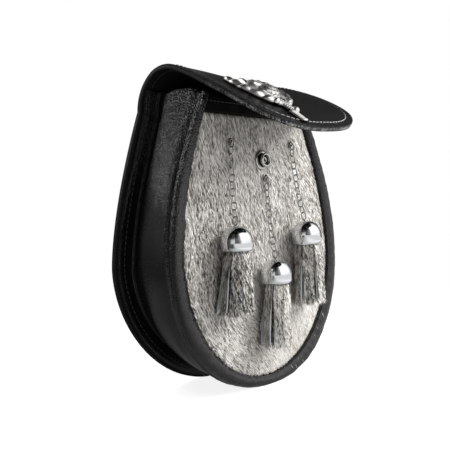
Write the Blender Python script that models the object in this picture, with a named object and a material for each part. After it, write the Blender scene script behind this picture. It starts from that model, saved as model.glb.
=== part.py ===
"""Sporran pouch: an upright leather purse with a fur front, standing on its lower edge.

Metres, +Z up.  The front faces -Y.  Dimensions below are in millimetres and are scaled by MM
where a mesh is made.  y = 0 is the plane of the fur before the whole bag is moved so that the
origin lies under the middle of its bounding box.

The back and the flap are one thick hide, cut flat and bent forwards over the mouth.  A soft
gusset runs around the bag, with a stitched flange against the back and a rolled rim at the
front, which frames a hide panel.  Three chains end in domed caps that hold tassels.
"""
import math
from collections import namedtuple

import bmesh
import bpy
import numpy as np

MM = 0.001
GAP = 0.3                        # clearance between pieces that touch

# ---- outlines -------------------------------------------------------------------------
# Seen from the front: a superellipse below the widest height, a tapering curve above it.
Outline = namedtuple("Outline", "half widest bottom top top_half roundness taper")
BACK = Outline(half=83.5, widest=83.6, bottom=1.6, top=182.6, top_half=56.7,
               roundness=1.9, taper=1.48)
RIM = Outline(half=81.9, widest=89.3, bottom=1.3, top=189.5, top_half=49.6,
              roundness=2.19, taper=1.89)
PANEL = Outline(half=72.6, widest=88.0, bottom=8.3, top=189.5, top_half=44.5,
                roundness=2.0, taper=1.76)
LOWER_STEPS = 14                 # stations from the bottom to the widest height, each side
UPPER_STEPS = 12                 # stations from there to the top, each side
GROUND = 2.0                     # the bag stands pressed flat at this height of its outlines

# ---- back and flap --------------------------------------------------------------------
BACK_Y = 53.9                    # rear face of the back
HIDE = 3.4                       # thickness of the back and flap
BEND_RADIUS = 26.5               # outer radius of the bend over the mouth
BEND_STEPS = 9
FLAP_SLOPE_START = 21.5          # degrees below level, just after the bend
FLAP_SLOPE_END = 38.4            # and at the tip
FLAP_LENGTH = 135.7              # from the start of the bend to the tip, along the leather
FLAP_END = 73.1                  # length over which the tip rounds off
FLAP_END_ROUNDNESS = 2.84
FLAP_STEPS = 14
BEND_TILT = -5.6                 # the crease isn't level: rise at 60 mm to the right
TIP_UNTWIST = 6.9                # and how that rise changes over 100 mm of flap
TILT_SPAN = 60.0
TILT_EASE = 30.0                 # the tilt starts this far below the bend
EDGE_RISE = 0.9                  # the flap's edges curl up by this at 60 mm to either side
BEND_SHIFT = 1.8                 # sideways shift of the bend
FLAP_SHIFT = 2.6                 # and of the flap, over 100 mm
HIDE_COLUMNS = 8
BEND_SAMPLES = 40                # points read along the side view's arc
FLAP_SAMPLES = 60                # and along the flap beyond it
LAST_FLAP_ROW = 86.0             # degrees: the rows crowd towards the tip up to here

# ---- gusset ---------------------------------------------------------------------------
GUSSET_WALL = 1.8
FLANGE_Y = BACK_Y - HIDE - GAP - GUSSET_WALL
PILLOW_START, PILLOW_FULL = 105.0, 168.0    # heights between which the soft pillow grows
# blend: 0 follows the rim's outline, 1 the back's.  Insets are measured inwards from it, low
# on the bag and at its pillowed top.  follow: how far the row leans forward with the bend.
GussetRow = namedtuple("GussetRow", "blend y inset_low inset_high top follow")
GUSSET_ROWS = (
    GussetRow(0.00, 8.2, 3.2, 4.4, 192.6, 0.0),
    GussetRow(0.05, 10.4, 3.1, 3.6, 193.4, 0.0),
    GussetRow(0.12, 14.0, 3.2, 1.8, 194.6, 0.0),
    GussetRow(0.28, 20.0, 3.6, 0.6, 195.4, 0.0),
    GussetRow(0.45, 27.0, 4.6, 1.6, 195.4, 0.1),
    GussetRow(0.65, 34.0, 6.2, 5.4, 195.2, 0.4),
    GussetRow(0.85, 40.0, 9.2, 9.6, 195.0, 0.8),
    GussetRow(1.00, FLANGE_Y - 3.4, 12.4, 12.6, 195.0, 1.0),
    GussetRow(1.00, FLANGE_Y - 0.7, 12.0, 12.2, 195.0, 1.0),
    GussetRow(1.00, FLANGE_Y, 10.6, 10.8, 195.0, 1.0),
    GussetRow(1.00, FLANGE_Y, 1.6, 3.0, 195.0, 1.0),
)
GUSSET_CLEARANCE = 0.4           # its flange stays this far above the ground

# ---- rolled rim -----------------------------------------------------------------------
# across: 0 on the hide panel's edge, 1 on the rim's outline.
RimPoint = namedtuple("RimPoint", "across y")
RIM_SECTION = (
    RimPoint(0.00, 7.6), RimPoint(0.00, -0.8), RimPoint(0.10, -2.2), RimPoint(0.27, -3.1),
    RimPoint(0.50, -3.5), RimPoint(0.75, -3.2), RimPoint(0.92, -2.2), RimPoint(1.00, -0.4),
    RimPoint(0.98, 1.6), RimPoint(0.86, 3.6), RimPoint(0.82, 4.4), RimPoint(0.93, 5.4),
    RimPoint(0.95, 6.4), RimPoint(0.85, 7.4), RimPoint(0.60, 7.8),
)

# ---- front ----------------------------------------------------------------------------
FRONT_Y = (2.9, 4.9)             # front and rear faces of the leather front
FUR_BACK_Y = 2.6
FUR_CROWN_Y = -0.8               # how far the hair stands forward over most of the panel
FUR_TOP = 178.5
# scale: size of a section of the hair-on hide about its middle, from its edge to its crown
FurStep = namedtuple("FurStep", "scale y")
FUR_STEPS = (
    FurStep(1.0, 0.9), FurStep(0.985, 0.2), FurStep(0.93, -0.4), FurStep(0.8, FUR_CROWN_Y),
    FurStep(0.45, FUR_CROWN_Y),
)
BINDING_BOTTOM = FUR_TOP + 0.4
BINDING_INNER_BOTTOM = 180.5
BINDING_TOP = 191.2
BINDING_LEATHER = 1.1
BINDING_SHOULDER = 0.7

# ---- snap fastener --------------------------------------------------------------------
STUD_X, STUD_Z = 2.8, 150.0
SOCKET_ALONG = 116.0             # distance along the flap from the start of the bend
SOCKET_X = 2.0

# ---- badge ----------------------------------------------------------------------------
BADGE_X = -17.0                  # it sits to the left of the flap's middle
BADGE_START = 68.0               # its upper end, measured along the flap
BADGE_LEAN = -0.055              # sideways for each millimetre along
BadgeRow = namedtuple("BadgeRow", "along half edge crown")
BADGE_ROWS = (
    BadgeRow(0.0, 5.0, 1.4, 1.8), BadgeRow(3.0, 13.0, 1.4, 2.4), BadgeRow(8.0, 17.5, 1.4, 3.2),
    BadgeRow(14.0, 19.5, 1.6, 3.8), BadgeRow(20.0, 20.5, 1.6, 4.6), BadgeRow(26.0, 20.0, 1.6, 5.0),
    BadgeRow(31.0, 18.0, 1.6, 4.8), BadgeRow(36.0, 14.5, 1.6, 4.0), BadgeRow(40.0, 10.5, 1.6, 3.4),
    BadgeRow(44.0, 6.5, 1.6, 3.0), BadgeRow(48.0, 5.2, 1.6, 3.2), BadgeRow(52.0, 5.6, 1.6, 3.6),
    BadgeRow(55.0, 4.4, 1.4, 2.8), BadgeRow(59.0, 3.6, 1.2, 2.4), BadgeRow(63.5, 3.0, 1.2, 2.0),
)
BADGE_COLUMNS = 8

# ---- chains, caps and tassels ---------------------------------------------------------
LINK_PITCH = 4.45                # from each link's middle to the next
LINK_LENGTH, LINK_WIDTH = 5.8, 3.6
LINK_WIRE = 0.48                 # radius of the wire
LINK_CORNERS, WIRE_SIDES = 12, 5
LINK_TURN = 0.35                 # radians that the chain is twisted from facing forward
CAP_RADIUS = 10.2
CAP_HEIGHT = 15.7
CAP_WALL = 0.8
CAP_Y = FUR_CROWN_Y - GAP - CAP_RADIUS
# anchor: where the chain leaves the hide; cap: the middle of its lower edge; tilt: degrees that
# its lower edge swings to the right; drop, lean: the end of the tassel below the cap and to
# the side; spread: half-width of the tassel's end.
Drop = namedtuple("Drop", "name anchor_x anchor_z cap_x cap_z tilt drop lean spread")
DROPS = (
    Drop("left", -28.0, 162.0, -37.2, 92.2, 0.0, 37.5, -3.0, 11.2),
    Drop("centre", 5.0, 139.0, -0.5, 68.8, 0.0, 39.7, -2.4, 9.4),
    Drop("right", 33.8, 162.4, 35.2, 92.8, 8.0, 41.0, 1.2, 11.0),
)
TASSEL_SEGMENTS = 20
TASSEL_PLUG = 7.0                # height of tassel held inside its cap
TASSEL_NECK = 0.6                # and how far it comes out before it widens
CAP_LIP = 1.3                    # how far the cap draws in at its mouth
TASSEL_DEPTH = 7.6               # half its thickness, front to back
TASSEL_LOBES = 0.05              # how far the bundle's ends bulge, as a share of its width
TURNED_SEGMENTS = 24             # sides of a turned piece
SHARP, SHARP_BLOCK = 50.0, 30.0  # edges sharper than this many degrees stay creased


# ---- curves ---------------------------------------------------------------------------
def lerp(a, b, t):
    return a + (b - a) * t


def ramp(value, low, high):
    t = min(max((value - low) / (high - low), 0.0), 1.0)
    return t * t * (3.0 - 2.0 * t)


def lower_point(shape, step):
    """Point on the rounded lower part, step 0 at the bottom and LOWER_STEPS at the widest."""
    angle = math.pi / 2 * step / LOWER_STEPS
    power = 2.0 / shape.roundness
    x = shape.half * math.sin(angle) ** power
    z = shape.widest - (shape.widest - shape.bottom) * max(math.cos(angle), 0.0) ** power
    return x, z


def upper_half(shape, z):
    """Half-width above the widest height.  The back keeps its top width beyond its top."""
    rise = (z - shape.widest) / (shape.top - shape.widest)
    if shape is BACK:
        rise = min(rise, 1.0)
    return shape.half - (shape.half - shape.top_half) * max(rise, 0.0) ** shape.taper


def outline(front, rear, blend, top):
    """Right-hand half of a blend of two outlines, from the bottom up, as an array of (x, z)."""
    points = []
    for step in range(LOWER_STEPS + 1):
        a = lower_point(front, step)
        b = lower_point(rear, step)
        points.append((lerp(a[0], b[0], blend), lerp(a[1], b[1], blend)))
    widest = lerp(front.widest, rear.widest, blend)
    for step in range(1, UPPER_STEPS + 1):
        z = lerp(widest, top, step / UPPER_STEPS)
        points.append((lerp(upper_half(front, z), upper_half(rear, z), blend), z))
    return np.array(points)


def inset(points, amount):
    """Move a half outline inwards, square to itself; amount may differ from point to point."""
    tangent = np.gradient(points, axis=0)
    tangent[0] = (1.0, 0.0)
    tangent /= np.linalg.norm(tangent, axis=1)[:, None]
    inward = np.stack([-tangent[:, 1], tangent[:, 0]], axis=1)
    moved = points + inward * np.reshape(amount, (-1, 1))
    moved[0, 0] = 0.0
    return moved


def both_sides(half):
    """Whole outline from the left top, around the bottom, to the right top."""
    left = half[::-1] * (-1.0, 1.0)
    return np.vstack([left, half[1:]])


# ---- the bend and the flap ------------------------------------------------------------
def bend_profile():
    """Side view of the outer surface from the start of the bend: length, y and z."""
    slope = math.radians(FLAP_SLOPE_START)
    end_slope = math.radians(FLAP_SLOPE_END)
    turn = math.pi / 2 + slope
    rows = []
    for angle in np.linspace(0.0, turn, BEND_SAMPLES):
        rows.append((BEND_RADIUS * angle,
                     BACK_Y - BEND_RADIUS * (1.0 - math.cos(angle)),
                     BACK.top + BEND_RADIUS * math.sin(angle)))
    length, y, z = rows[-1]
    straight = FLAP_LENGTH - length
    step = straight / FLAP_SAMPLES
    for index in range(FLAP_SAMPLES):
        heading = lerp(slope, end_slope, (index + 0.5) / FLAP_SAMPLES)
        length += step
        y -= math.cos(heading) * step
        z -= math.sin(heading) * step
        rows.append((length, y, z))
    return np.array(rows)


PROFILE = bend_profile()
ORIGIN_Y = -(BACK_Y + PROFILE[-1, 1]) / 2.0       # brings the bounding box's middle to y = 0


def bend_ease(along):
    return min(max((along + TILT_EASE) / (2.0 * TILT_EASE), 0.0), 1.0)


def tilt(x, along):
    """Rise of the hide at a place, because the crease isn't level and the flap twists."""
    untwist = TIP_UNTWIST * max(along, 0.0) / 100.0
    return (BEND_TILT * bend_ease(along) + untwist) * x / TILT_SPAN


def hide_point(x, along):
    """Point on the outer surface; along is measured up the back from the start of the bend."""
    if along < 0.0:
        y, z = BACK_Y, BACK.top + along
    else:
        y = np.interp(along, PROFILE[:, 0], PROFILE[:, 1])
        z = np.interp(along, PROFILE[:, 0], PROFILE[:, 2])
    shift = BEND_SHIFT * bend_ease(along) + FLAP_SHIFT * max(along, 0.0) / 100.0
    curl = EDGE_RISE * (x / TILT_SPAN) ** 2 * min(max(along / TILT_SPAN, 0.0), 1.0)
    return np.array([x + shift, y, z + tilt(x, along) + curl])


def hide_frame(x, along):
    """Point, unit vectors across and along, and the outward normal of the outer surface."""
    step = 0.5
    point = hide_point(x, along)
    across = hide_point(x + step, along) - hide_point(x - step, along)
    forward = hide_point(x, along + step) - hide_point(x, along - step)
    across /= np.linalg.norm(across)
    forward /= np.linalg.norm(forward)
    normal = np.cross(forward, across)
    return point, across, forward, normal / np.linalg.norm(normal)


def flap_half(along):
    """Half-width of the hide from the start of the bend to the rounded tip."""
    end = min(max((along - (FLAP_LENGTH - FLAP_END)) / FLAP_END, 0.0), 1.0)
    return BACK.top_half * (1.0 - end ** FLAP_END_ROUNDNESS) ** (1.0 / FLAP_END_ROUNDNESS)


def bend_depth(z, below):
    """How far a layer this far below the outer surface has bent forwards at a height."""
    radius = BEND_RADIUS - below
    rise = min(max(z - BACK.top, 0.0), radius)
    return radius - math.sqrt(radius * radius - rise * rise)


# ---- meshes ---------------------------------------------------------------------------
def material(name, colour, roughness, metallic=0.0):
    made = bpy.data.materials.get(name)
    if made is None:
        made = bpy.data.materials.new(name)
        made.use_nodes = True
        made.diffuse_color = (*colour, 1.0)
        shader = made.node_tree.nodes["Principled BSDF"]
        shader.inputs["Base Color"].default_value = (*colour, 1.0)
        shader.inputs["Roughness"].default_value = roughness
        shader.inputs["Metallic"].default_value = metallic
    return made


def add_object(name, data, finish):
    made = bpy.data.objects.new(name, data)
    made.data.materials.append(finish)
    made.location = (0.0, ORIGIN_Y * MM, -GROUND * MM)
    bpy.context.collection.objects.link(made)
    return made


def loft(rings, closed=True):
    """Mesh through rings of equal length, each an array of (x, y, z) in millimetres."""
    mesh = bmesh.new()
    rows = [[mesh.verts.new([c * MM for c in point]) for point in ring] for ring in rings]
    count = len(rows[0])
    spans = count if closed else count - 1
    for low, high in zip(rows, rows[1:]):
        for i in range(spans):
            j = (i + 1) % count
            mesh.faces.new((low[i], low[j], high[j], high[i]))
    if closed:
        mesh.faces.new(rows[0][::-1])
        mesh.faces.new(rows[-1])
    return mesh


def finish_mesh(mesh, name, finish, sharp=SHARP):
    """Turn a bmesh into a named object with its faces pointing out and shaded smooth."""
    bmesh.ops.recalc_face_normals(mesh, faces=mesh.faces)
    data = bpy.data.meshes.new(name)
    mesh.to_mesh(data)
    mesh.free()
    data.shade_smooth()
    data.set_sharp_from_angle(angle=math.radians(sharp))
    return add_object(name, data, finish)


def lathe(profile, centre, axis):
    """Rings around an axis from rows of (radius, distance along the axis)."""
    segments = TURNED_SEGMENTS
    spin = {"z": (0, 1, 2), "-y": (0, 2, 1)}[axis]
    sign = -1.0 if axis == "-y" else 1.0
    rings = []
    for radius, height in profile:
        ring = np.zeros((segments, 3))
        angle = np.arange(segments) * 2.0 * math.pi / segments
        ring[:, spin[0]] = radius * np.cos(angle)
        ring[:, spin[1]] = radius * np.sin(angle)
        ring[:, spin[2]] = sign * height
        rings.append(ring + np.array(centre))
    return rings


def sheet(rows, thickness, name, finish):
    """Leather wall from a grid of points on its visible face; the thickness goes behind it."""
    mesh = loft(rows, closed=False)
    data = bpy.data.meshes.new(name)
    mesh.to_mesh(data)
    mesh.free()
    data.shade_smooth()
    data.set_sharp_from_angle(angle=math.radians(SHARP))
    made = add_object(name, data, finish)
    wall = made.modifiers.new("Wall", "SOLIDIFY")
    wall.thickness = thickness * MM
    wall.offset = -1.0
    wall.use_even_offset = True
    return made


# ---- leather pieces -------------------------------------------------------------------
def make_back_and_flap(finish):
    """One hide: the back, the bend over the mouth and the flap with its rounded tip."""
    ground_step = 0
    while lower_point(BACK, ground_step + 1)[1] < GROUND:
        ground_step += 1
    first = lower_point(BACK, ground_step)
    second = lower_point(BACK, ground_step + 1)
    cut = (GROUND - first[1]) / (second[1] - first[1])
    rows = [(lerp(first[0], second[0], cut), GROUND - BACK.top)]
    for step in range(ground_step + 1, LOWER_STEPS + 1):
        x, z = lower_point(BACK, step)
        rows.append((x, z - BACK.top))
    for step in range(1, UPPER_STEPS + 1):
        z = lerp(BACK.widest, BACK.top, step / UPPER_STEPS)
        rows.append((upper_half(BACK, z), z - BACK.top))
    turn = BEND_RADIUS * (math.pi / 2 + math.radians(FLAP_SLOPE_START))
    for step in range(1, BEND_STEPS + 1):
        rows.append((BACK.top_half, turn * step / BEND_STEPS))
    last_turn = math.radians(LAST_FLAP_ROW)
    round_start = FLAP_LENGTH - FLAP_END
    rows.append((BACK.top_half, round_start))
    for step in range(1, FLAP_STEPS + 1):
        along = round_start + FLAP_END * math.sin(last_turn * step / FLAP_STEPS)
        rows.append((flap_half(along), along))
    grid = []
    for half, along in rows:
        across = np.linspace(half, -half, HIDE_COLUMNS + 1)
        grid.append([hide_point(x, along) for x in across])
    return sheet(grid, HIDE, "back_and_flap", finish)


def make_gusset(finish):
    """Soft side wall: a pillow at its top, a valley behind it and a flange on the back."""
    grid = []
    for row in GUSSET_ROWS:
        half = outline(RIM, BACK, row.blend, row.top)
        pillow = [ramp(z, PILLOW_START, PILLOW_FULL) for z in half[:, 1]]
        amount = [lerp(row.inset_low, row.inset_high, p) for p in pillow]
        whole = both_sides(inset(half, amount))
        line = []
        for x, z in whole:
            y = row.y - row.follow * bend_depth(z, HIDE + GAP + GUSSET_WALL)
            z += row.follow * tilt(x, z - BACK.top)
            line.append((x, y, max(z, GROUND + GUSSET_CLEARANCE)))
        grid.append(line)
    return sheet(grid[::-1], GUSSET_WALL, "gusset", finish)


def panel_outline(top, clearance):
    """Whole outline of the hide panel, up to a height, drawn in by a clearance."""
    half = outline(PANEL, PANEL, 0.0, top)
    return both_sides(inset(half, clearance))


def make_rolled_rim(finish):
    """Padded leather roll that frames the front, with a soft ridge along its rear edge."""
    inner = panel_outline(PANEL.top, -GAP)
    outer = both_sides(outline(RIM, RIM, 0.0, RIM.top))
    rings = []
    for a, b in zip(inner, outer):
        ring = []
        for point in RIM_SECTION:
            x, z = lerp(a, b, point.across)
            ring.append((x, point.y, max(z, GROUND)))
        rings.append(ring)
    return finish_mesh(loft(rings), "rolled_rim", finish)


def make_front_panel(finish):
    """Flat leather front behind the hide, from the rim's foot to the mouth."""
    edge = panel_outline(PANEL.top, GAP / 2)
    rings = [[(x, y, z) for x, z in edge] for y in FRONT_Y]
    return finish_mesh(loft(rings), "front_panel", finish, sharp=SHARP_BLOCK)


def make_fur_panel(finish):
    """Hair-on hide: a low crowned slab with the outer form of the hair."""
    edge = panel_outline(FUR_TOP, GAP / 2)
    middle = np.array([0.0, PANEL.widest])
    rings = [[(x, FUR_BACK_Y, z) for x, z in edge]]
    for step in FUR_STEPS:
        rings.append([(x, step.y, z) for x, z in middle + (edge - middle) * step.scale])
    return finish_mesh(loft(rings), "fur_panel", finish)


def make_top_binding(finish):
    """Leather folded over the upper edge of the front, above the hair."""
    front, rear = FRONT_Y
    outer_front = front - GAP - BINDING_LEATHER
    outer_rear = rear + GAP + BINDING_LEATHER
    under = PANEL.top + GAP
    shoulder = BINDING_TOP - BINDING_SHOULDER
    section = (
        (outer_front, BINDING_BOTTOM), (outer_front, shoulder),
        (outer_front + BINDING_SHOULDER, BINDING_TOP),
        (outer_rear - BINDING_SHOULDER, BINDING_TOP),
        (outer_rear, shoulder), (outer_rear, BINDING_INNER_BOTTOM),
        (rear + GAP, BINDING_INNER_BOTTOM), (rear + GAP, under), (front - GAP, under),
        (front - GAP, BINDING_BOTTOM),
    )
    rings = []
    for share in (-1.0, -0.5, 0.0, 0.5, 1.0):
        ring = []
        for y, z in section:
            end = upper_half(PANEL, z) - GAP
            ring.append((share * end, y, z))
        rings.append(ring)
    return finish_mesh(loft(rings), "top_binding", finish, sharp=SHARP_BLOCK)


# ---- metal pieces ---------------------------------------------------------------------
def make_snap_stud(finish):
    """Fastener on the hide: a thin washer, a barrel and a hollow rounded end."""
    profile = ((6.4, 0.0), (6.4, 0.5), (5.9, 0.9), (4.6, 1.0), (4.3, 2.4), (4.6, 3.2),
               (4.7, 3.8), (4.3, 4.4), (3.5, 4.5), (2.9, 4.0), (2.6, 2.2), (0.8, 2.0))
    centre = (STUD_X, FUR_CROWN_Y - GAP, STUD_Z)
    return finish_mesh(loft(lathe(profile, centre, "-y")), "snap_stud", finish)


def make_snap_socket(finish):
    """Plain mating half of the fastener under the flap."""
    point, across, forward, normal = hide_frame(SOCKET_X, SOCKET_ALONG)
    base = point - normal * (HIDE + GAP)
    profile = ((6.4, 0.0), (6.4, 0.6), (5.6, 1.0), (5.4, 2.2), (4.9, 2.7), (4.2, 2.7),
               (4.0, 1.2), (1.0, 1.0))
    rings = []
    for radius, depth in profile:
        ring = []
        for step in range(TURNED_SEGMENTS):
            angle = 2.0 * math.pi * step / TURNED_SEGMENTS
            side = across * math.cos(angle) + forward * math.sin(angle)
            ring.append(base + side * radius - normal * depth)
        rings.append(ring)
    return finish_mesh(loft(rings), "snap_socket", finish)


def make_flap_badge(finish):
    """Cast ornament in the outline of a thistle, crowned along its middle."""
    upper = []
    lower = []
    for row in BADGE_ROWS:
        over = []
        under = []
        middle = BADGE_X + BADGE_LEAN * row.along
        for column in range(BADGE_COLUMNS + 1):
            across = 1.0 - 2.0 * column / BADGE_COLUMNS
            x = middle + row.half * across
            point, _, _, normal = hide_frame(x, BADGE_START + row.along)
            height = lerp(row.edge, row.crown, 1.0 - across * across)
            over.append(point + normal * (GAP + height))
            under.append(point + normal * GAP)
        upper.append(over)
        lower.append(under)
    rings = [over + under[::-1] for over, under in zip(upper, lower)]
    return finish_mesh(loft(rings), "flap_badge", finish)


def link_mesh(links):
    """Mesh of oval wire links from rows of centre, across and along."""
    wide, straight = LINK_WIDTH / 2 - LINK_WIRE, (LINK_LENGTH - LINK_WIDTH) / 2
    mesh = bmesh.new()
    for centre, across, along in links:
        normal = np.cross(across, along)
        rings = []
        for corner in range(LINK_CORNERS):
            angle = 2.0 * math.pi * (corner + 0.5) / LINK_CORNERS
            out = across * math.cos(angle) + along * math.sin(angle)
            middle = centre + out * wide + along * math.copysign(straight, math.sin(angle))
            ring = []
            for side in range(WIRE_SIDES):
                turn = 2.0 * math.pi * side / WIRE_SIDES
                point = middle + (out * math.cos(turn) + normal * math.sin(turn)) * LINK_WIRE
                ring.append(mesh.verts.new(point * MM))
            rings.append(ring)
        for low, high in zip(rings, rings[1:] + rings[:1]):
            for side in range(WIRE_SIDES):
                after = (side + 1) % WIRE_SIDES
                mesh.faces.new((low[side], low[after], high[after], high[side]))
    return mesh


def make_chain(drop, finish):
    """Chain of oval links, each a quarter turn from the last and joined to it where they meet."""
    overhang = (LINK_LENGTH - LINK_PITCH) / 2
    start = np.array([drop.anchor_x, FUR_CROWN_Y - GAP - LINK_WIDTH / 2, drop.anchor_z])
    end = hang(drop, (0.0, 0.0, CAP_HEIGHT + GAP + overhang))

    def route(t):
        point = lerp(start, end, t)
        point[1] = lerp(start[1], end[1], t ** 1.6)
        return point

    count = round(float(np.linalg.norm(end - start)) / LINK_PITCH)
    links = []
    for index in range(count):
        along = route((index + 1) / count) - route(index / count)
        along /= np.linalg.norm(along)
        side = np.cross(along, (0.0, -1.0, 0.0))
        side /= np.linalg.norm(side)
        turn = LINK_TURN + math.pi / 2 * (index % 2)
        across = side * math.cos(turn) + np.cross(side, along) * math.sin(turn)
        links.append((route((index + 0.5) / count), across, along))
    made = finish_mesh(link_mesh(links[::2]), "chain_" + drop.name, finish)
    others = finish_mesh(link_mesh(links[1::2]), "links_between", finish)
    union = made.modifiers.new("Union", "BOOLEAN")
    union.operation = "UNION"
    union.solver = "EXACT"
    union.object = others
    graph = bpy.context.evaluated_depsgraph_get()
    joined = bpy.data.meshes.new_from_object(made.evaluated_get(graph))
    made.modifiers.clear()
    made.data = joined
    bpy.data.objects.remove(others, do_unlink=True)
    return made


def dome_profile(radius, height):
    """Outer rows of a domed cap from its lip to its crown, as (radius, height)."""
    lip = 2.4
    shoulder = height - radius * 0.98
    rows = [(radius - CAP_LIP, 0.0), (radius - 0.3 * CAP_LIP, 0.9), (radius, lip),
            (radius, shoulder)]
    for angle in np.radians((15, 30, 45, 58, 70, 80, 87)):
        rows.append((radius * math.cos(angle),
                     shoulder + (height - shoulder) * math.sin(angle)))
    return rows


def hang(drop, points):
    """Points of a cap's own frame, turned by its tilt and put at its lower edge."""
    lean = math.radians(drop.tilt)
    turn = np.array([[math.cos(lean), 0.0, math.sin(lean)], [0.0, 1.0, 0.0],
                     [-math.sin(lean), 0.0, math.cos(lean)]])
    return np.array(points) @ turn + (drop.cap_x, CAP_Y, drop.cap_z)


def make_cap(drop, finish):
    """Thin spun dome, open below, that holds the tassel."""
    outer = dome_profile(CAP_RADIUS, CAP_HEIGHT)
    inner = dome_profile(CAP_RADIUS - CAP_WALL, CAP_HEIGHT - CAP_WALL)
    rings = [hang(drop, ring) for ring in lathe(outer[::-1] + inner, (0.0, 0.0, 0.0), "z")]
    return finish_mesh(loft(rings), "cap_" + drop.name, finish)


def make_tassel(drop, finish):
    """Outer form of the bundle of hide strips, narrow in the cap and flared below."""
    plug = CAP_RADIUS - CAP_WALL - CAP_LIP - GAP
    angle = 2.0 * math.pi * np.arange(TASSEL_SEGMENTS) / TASSEL_SEGMENTS
    rings = []
    for height, width in ((TASSEL_PLUG, plug - 1.2), (TASSEL_PLUG - 2.0, plug),
                          (-TASSEL_NECK, plug)):
        rings.append(hang(drop, np.stack([width * np.cos(angle), width * np.sin(angle),
                                          np.full(TASSEL_SEGMENTS, height)], axis=1)))
    for share in (0.1, 0.2, 0.4, 0.6, 0.8, 0.95, 1.0):
        width = lerp(CAP_RADIUS - 1.4, drop.spread, share ** 0.8)
        depth = lerp(CAP_RADIUS - 1.8, TASSEL_DEPTH, min(share * 3.0, 1.0))
        lobe = 1.0 + TASSEL_LOBES * share * np.cos(5.0 * angle + drop.cap_x)
        rings.append(np.stack([
            drop.cap_x + drop.lean * share + width * lobe * np.cos(angle),
            CAP_Y + 0.8 * share + depth * lobe * np.sin(angle),
            np.full(TASSEL_SEGMENTS, drop.cap_z - share * drop.drop)], axis=1))
    return finish_mesh(loft(rings), "tassel_" + drop.name, finish)


def main():
    for item in list(bpy.data.objects):
        bpy.data.objects.remove(item, do_unlink=True)
    smooth_leather = material("smooth_leather", (0.012, 0.012, 0.013), 0.42)
    grained_leather = material("grained_leather", (0.018, 0.018, 0.020), 0.50)
    fur = material("fur", (0.42, 0.40, 0.37), 0.75)
    tassel_hide = material("tassel_hide", (0.27, 0.26, 0.24), 0.80)
    polished = material("polished_metal", (0.86, 0.87, 0.88), 0.06, 1.0)
    dark_metal = material("dark_metal", (0.20, 0.19, 0.18), 0.30, 1.0)
    cast_metal = material("cast_metal", (0.62, 0.61, 0.58), 0.30, 1.0)
    wire = material("wire", (0.60, 0.60, 0.58), 0.28, 1.0)
    make_back_and_flap(smooth_leather)
    make_gusset(grained_leather)
    make_rolled_rim(grained_leather)
    make_front_panel(smooth_leather)
    make_fur_panel(fur)
    make_top_binding(smooth_leather)
    make_snap_stud(dark_metal)
    make_snap_socket(dark_metal)
    make_flap_badge(cast_metal)
    for drop in DROPS:
        make_chain(drop, wire)
        make_cap(drop, polished)
        make_tassel(drop, tassel_hide)


main()
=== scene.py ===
"""Looks of the sporran pouch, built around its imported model.

Lengths here are millimetres in the bag's own frame, as in part.py: y = 0 is the plane of the fur.
put() turns them into the model's metres.  Every piece is a mesh made from arrays.
"""
import math
from collections import namedtuple

import bpy
import numpy as np
from mathutils import Matrix, Vector


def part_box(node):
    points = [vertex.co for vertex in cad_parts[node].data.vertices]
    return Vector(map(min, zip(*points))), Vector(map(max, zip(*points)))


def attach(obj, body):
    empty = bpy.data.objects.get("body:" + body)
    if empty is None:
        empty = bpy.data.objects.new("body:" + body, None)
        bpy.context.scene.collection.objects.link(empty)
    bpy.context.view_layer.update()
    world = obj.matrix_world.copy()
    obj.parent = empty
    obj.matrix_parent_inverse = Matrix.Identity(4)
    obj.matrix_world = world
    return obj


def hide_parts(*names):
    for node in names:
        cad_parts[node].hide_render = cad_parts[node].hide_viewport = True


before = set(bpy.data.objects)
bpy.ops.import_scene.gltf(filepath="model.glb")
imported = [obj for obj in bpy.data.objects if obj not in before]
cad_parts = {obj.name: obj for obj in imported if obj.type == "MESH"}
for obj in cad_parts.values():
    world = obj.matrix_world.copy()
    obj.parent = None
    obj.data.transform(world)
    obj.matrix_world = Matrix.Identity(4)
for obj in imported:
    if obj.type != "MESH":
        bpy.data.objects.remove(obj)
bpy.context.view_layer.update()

MM = 0.001
TURN = 2.0 * math.pi
FORWARD = np.array([0.0, -1.0, 0.0])

# ---- sizes repeated from part.py --------------------------------------------------------
GAP = 0.3                        # between pieces that lie on each other
GROUND = 2.0                     # z of the ground

Outline = namedtuple("Outline", "half widest bottom top top_half roundness taper")
BACK = Outline(half=83.5, widest=83.6, bottom=1.6, top=182.6, top_half=56.7,
               roundness=1.9, taper=1.48)
RIM = Outline(half=81.9, widest=89.3, bottom=1.3, top=189.5, top_half=49.6,
              roundness=2.19, taper=1.89)
PANEL = Outline(half=72.6, widest=88.0, bottom=8.3, top=189.5, top_half=44.5,
                roundness=2.0, taper=1.76)

BACK_Y = 53.9                    # rear face of the back
HIDE = 3.4                       # thickness of the back and flap
BEND_RADIUS = 26.5
FLAP_SLOPE_START, FLAP_SLOPE_END = 21.5, 38.4    # degrees below level
FLAP_LENGTH = 135.7              # from the start of the bend to the tip, along the leather
FLAP_END = 73.1                  # length of its rounded part
FLAP_END_ROUNDNESS = 2.84
BEND_TILT = -5.6                 # rise of the crease at TILT_SPAN to the right
TIP_UNTWIST = 6.9                # and how that rise changes over 100 mm of flap
TILT_SPAN = 60.0
TILT_EASE = 30.0                 # the tilt starts this far below the bend
EDGE_RISE = 0.9                  # the flap's edges curl up by this at TILT_SPAN
BEND_SHIFT = 1.8                 # sideways shift of the bend
FLAP_SHIFT = 2.6                 # and of the flap, over 100 mm

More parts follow.
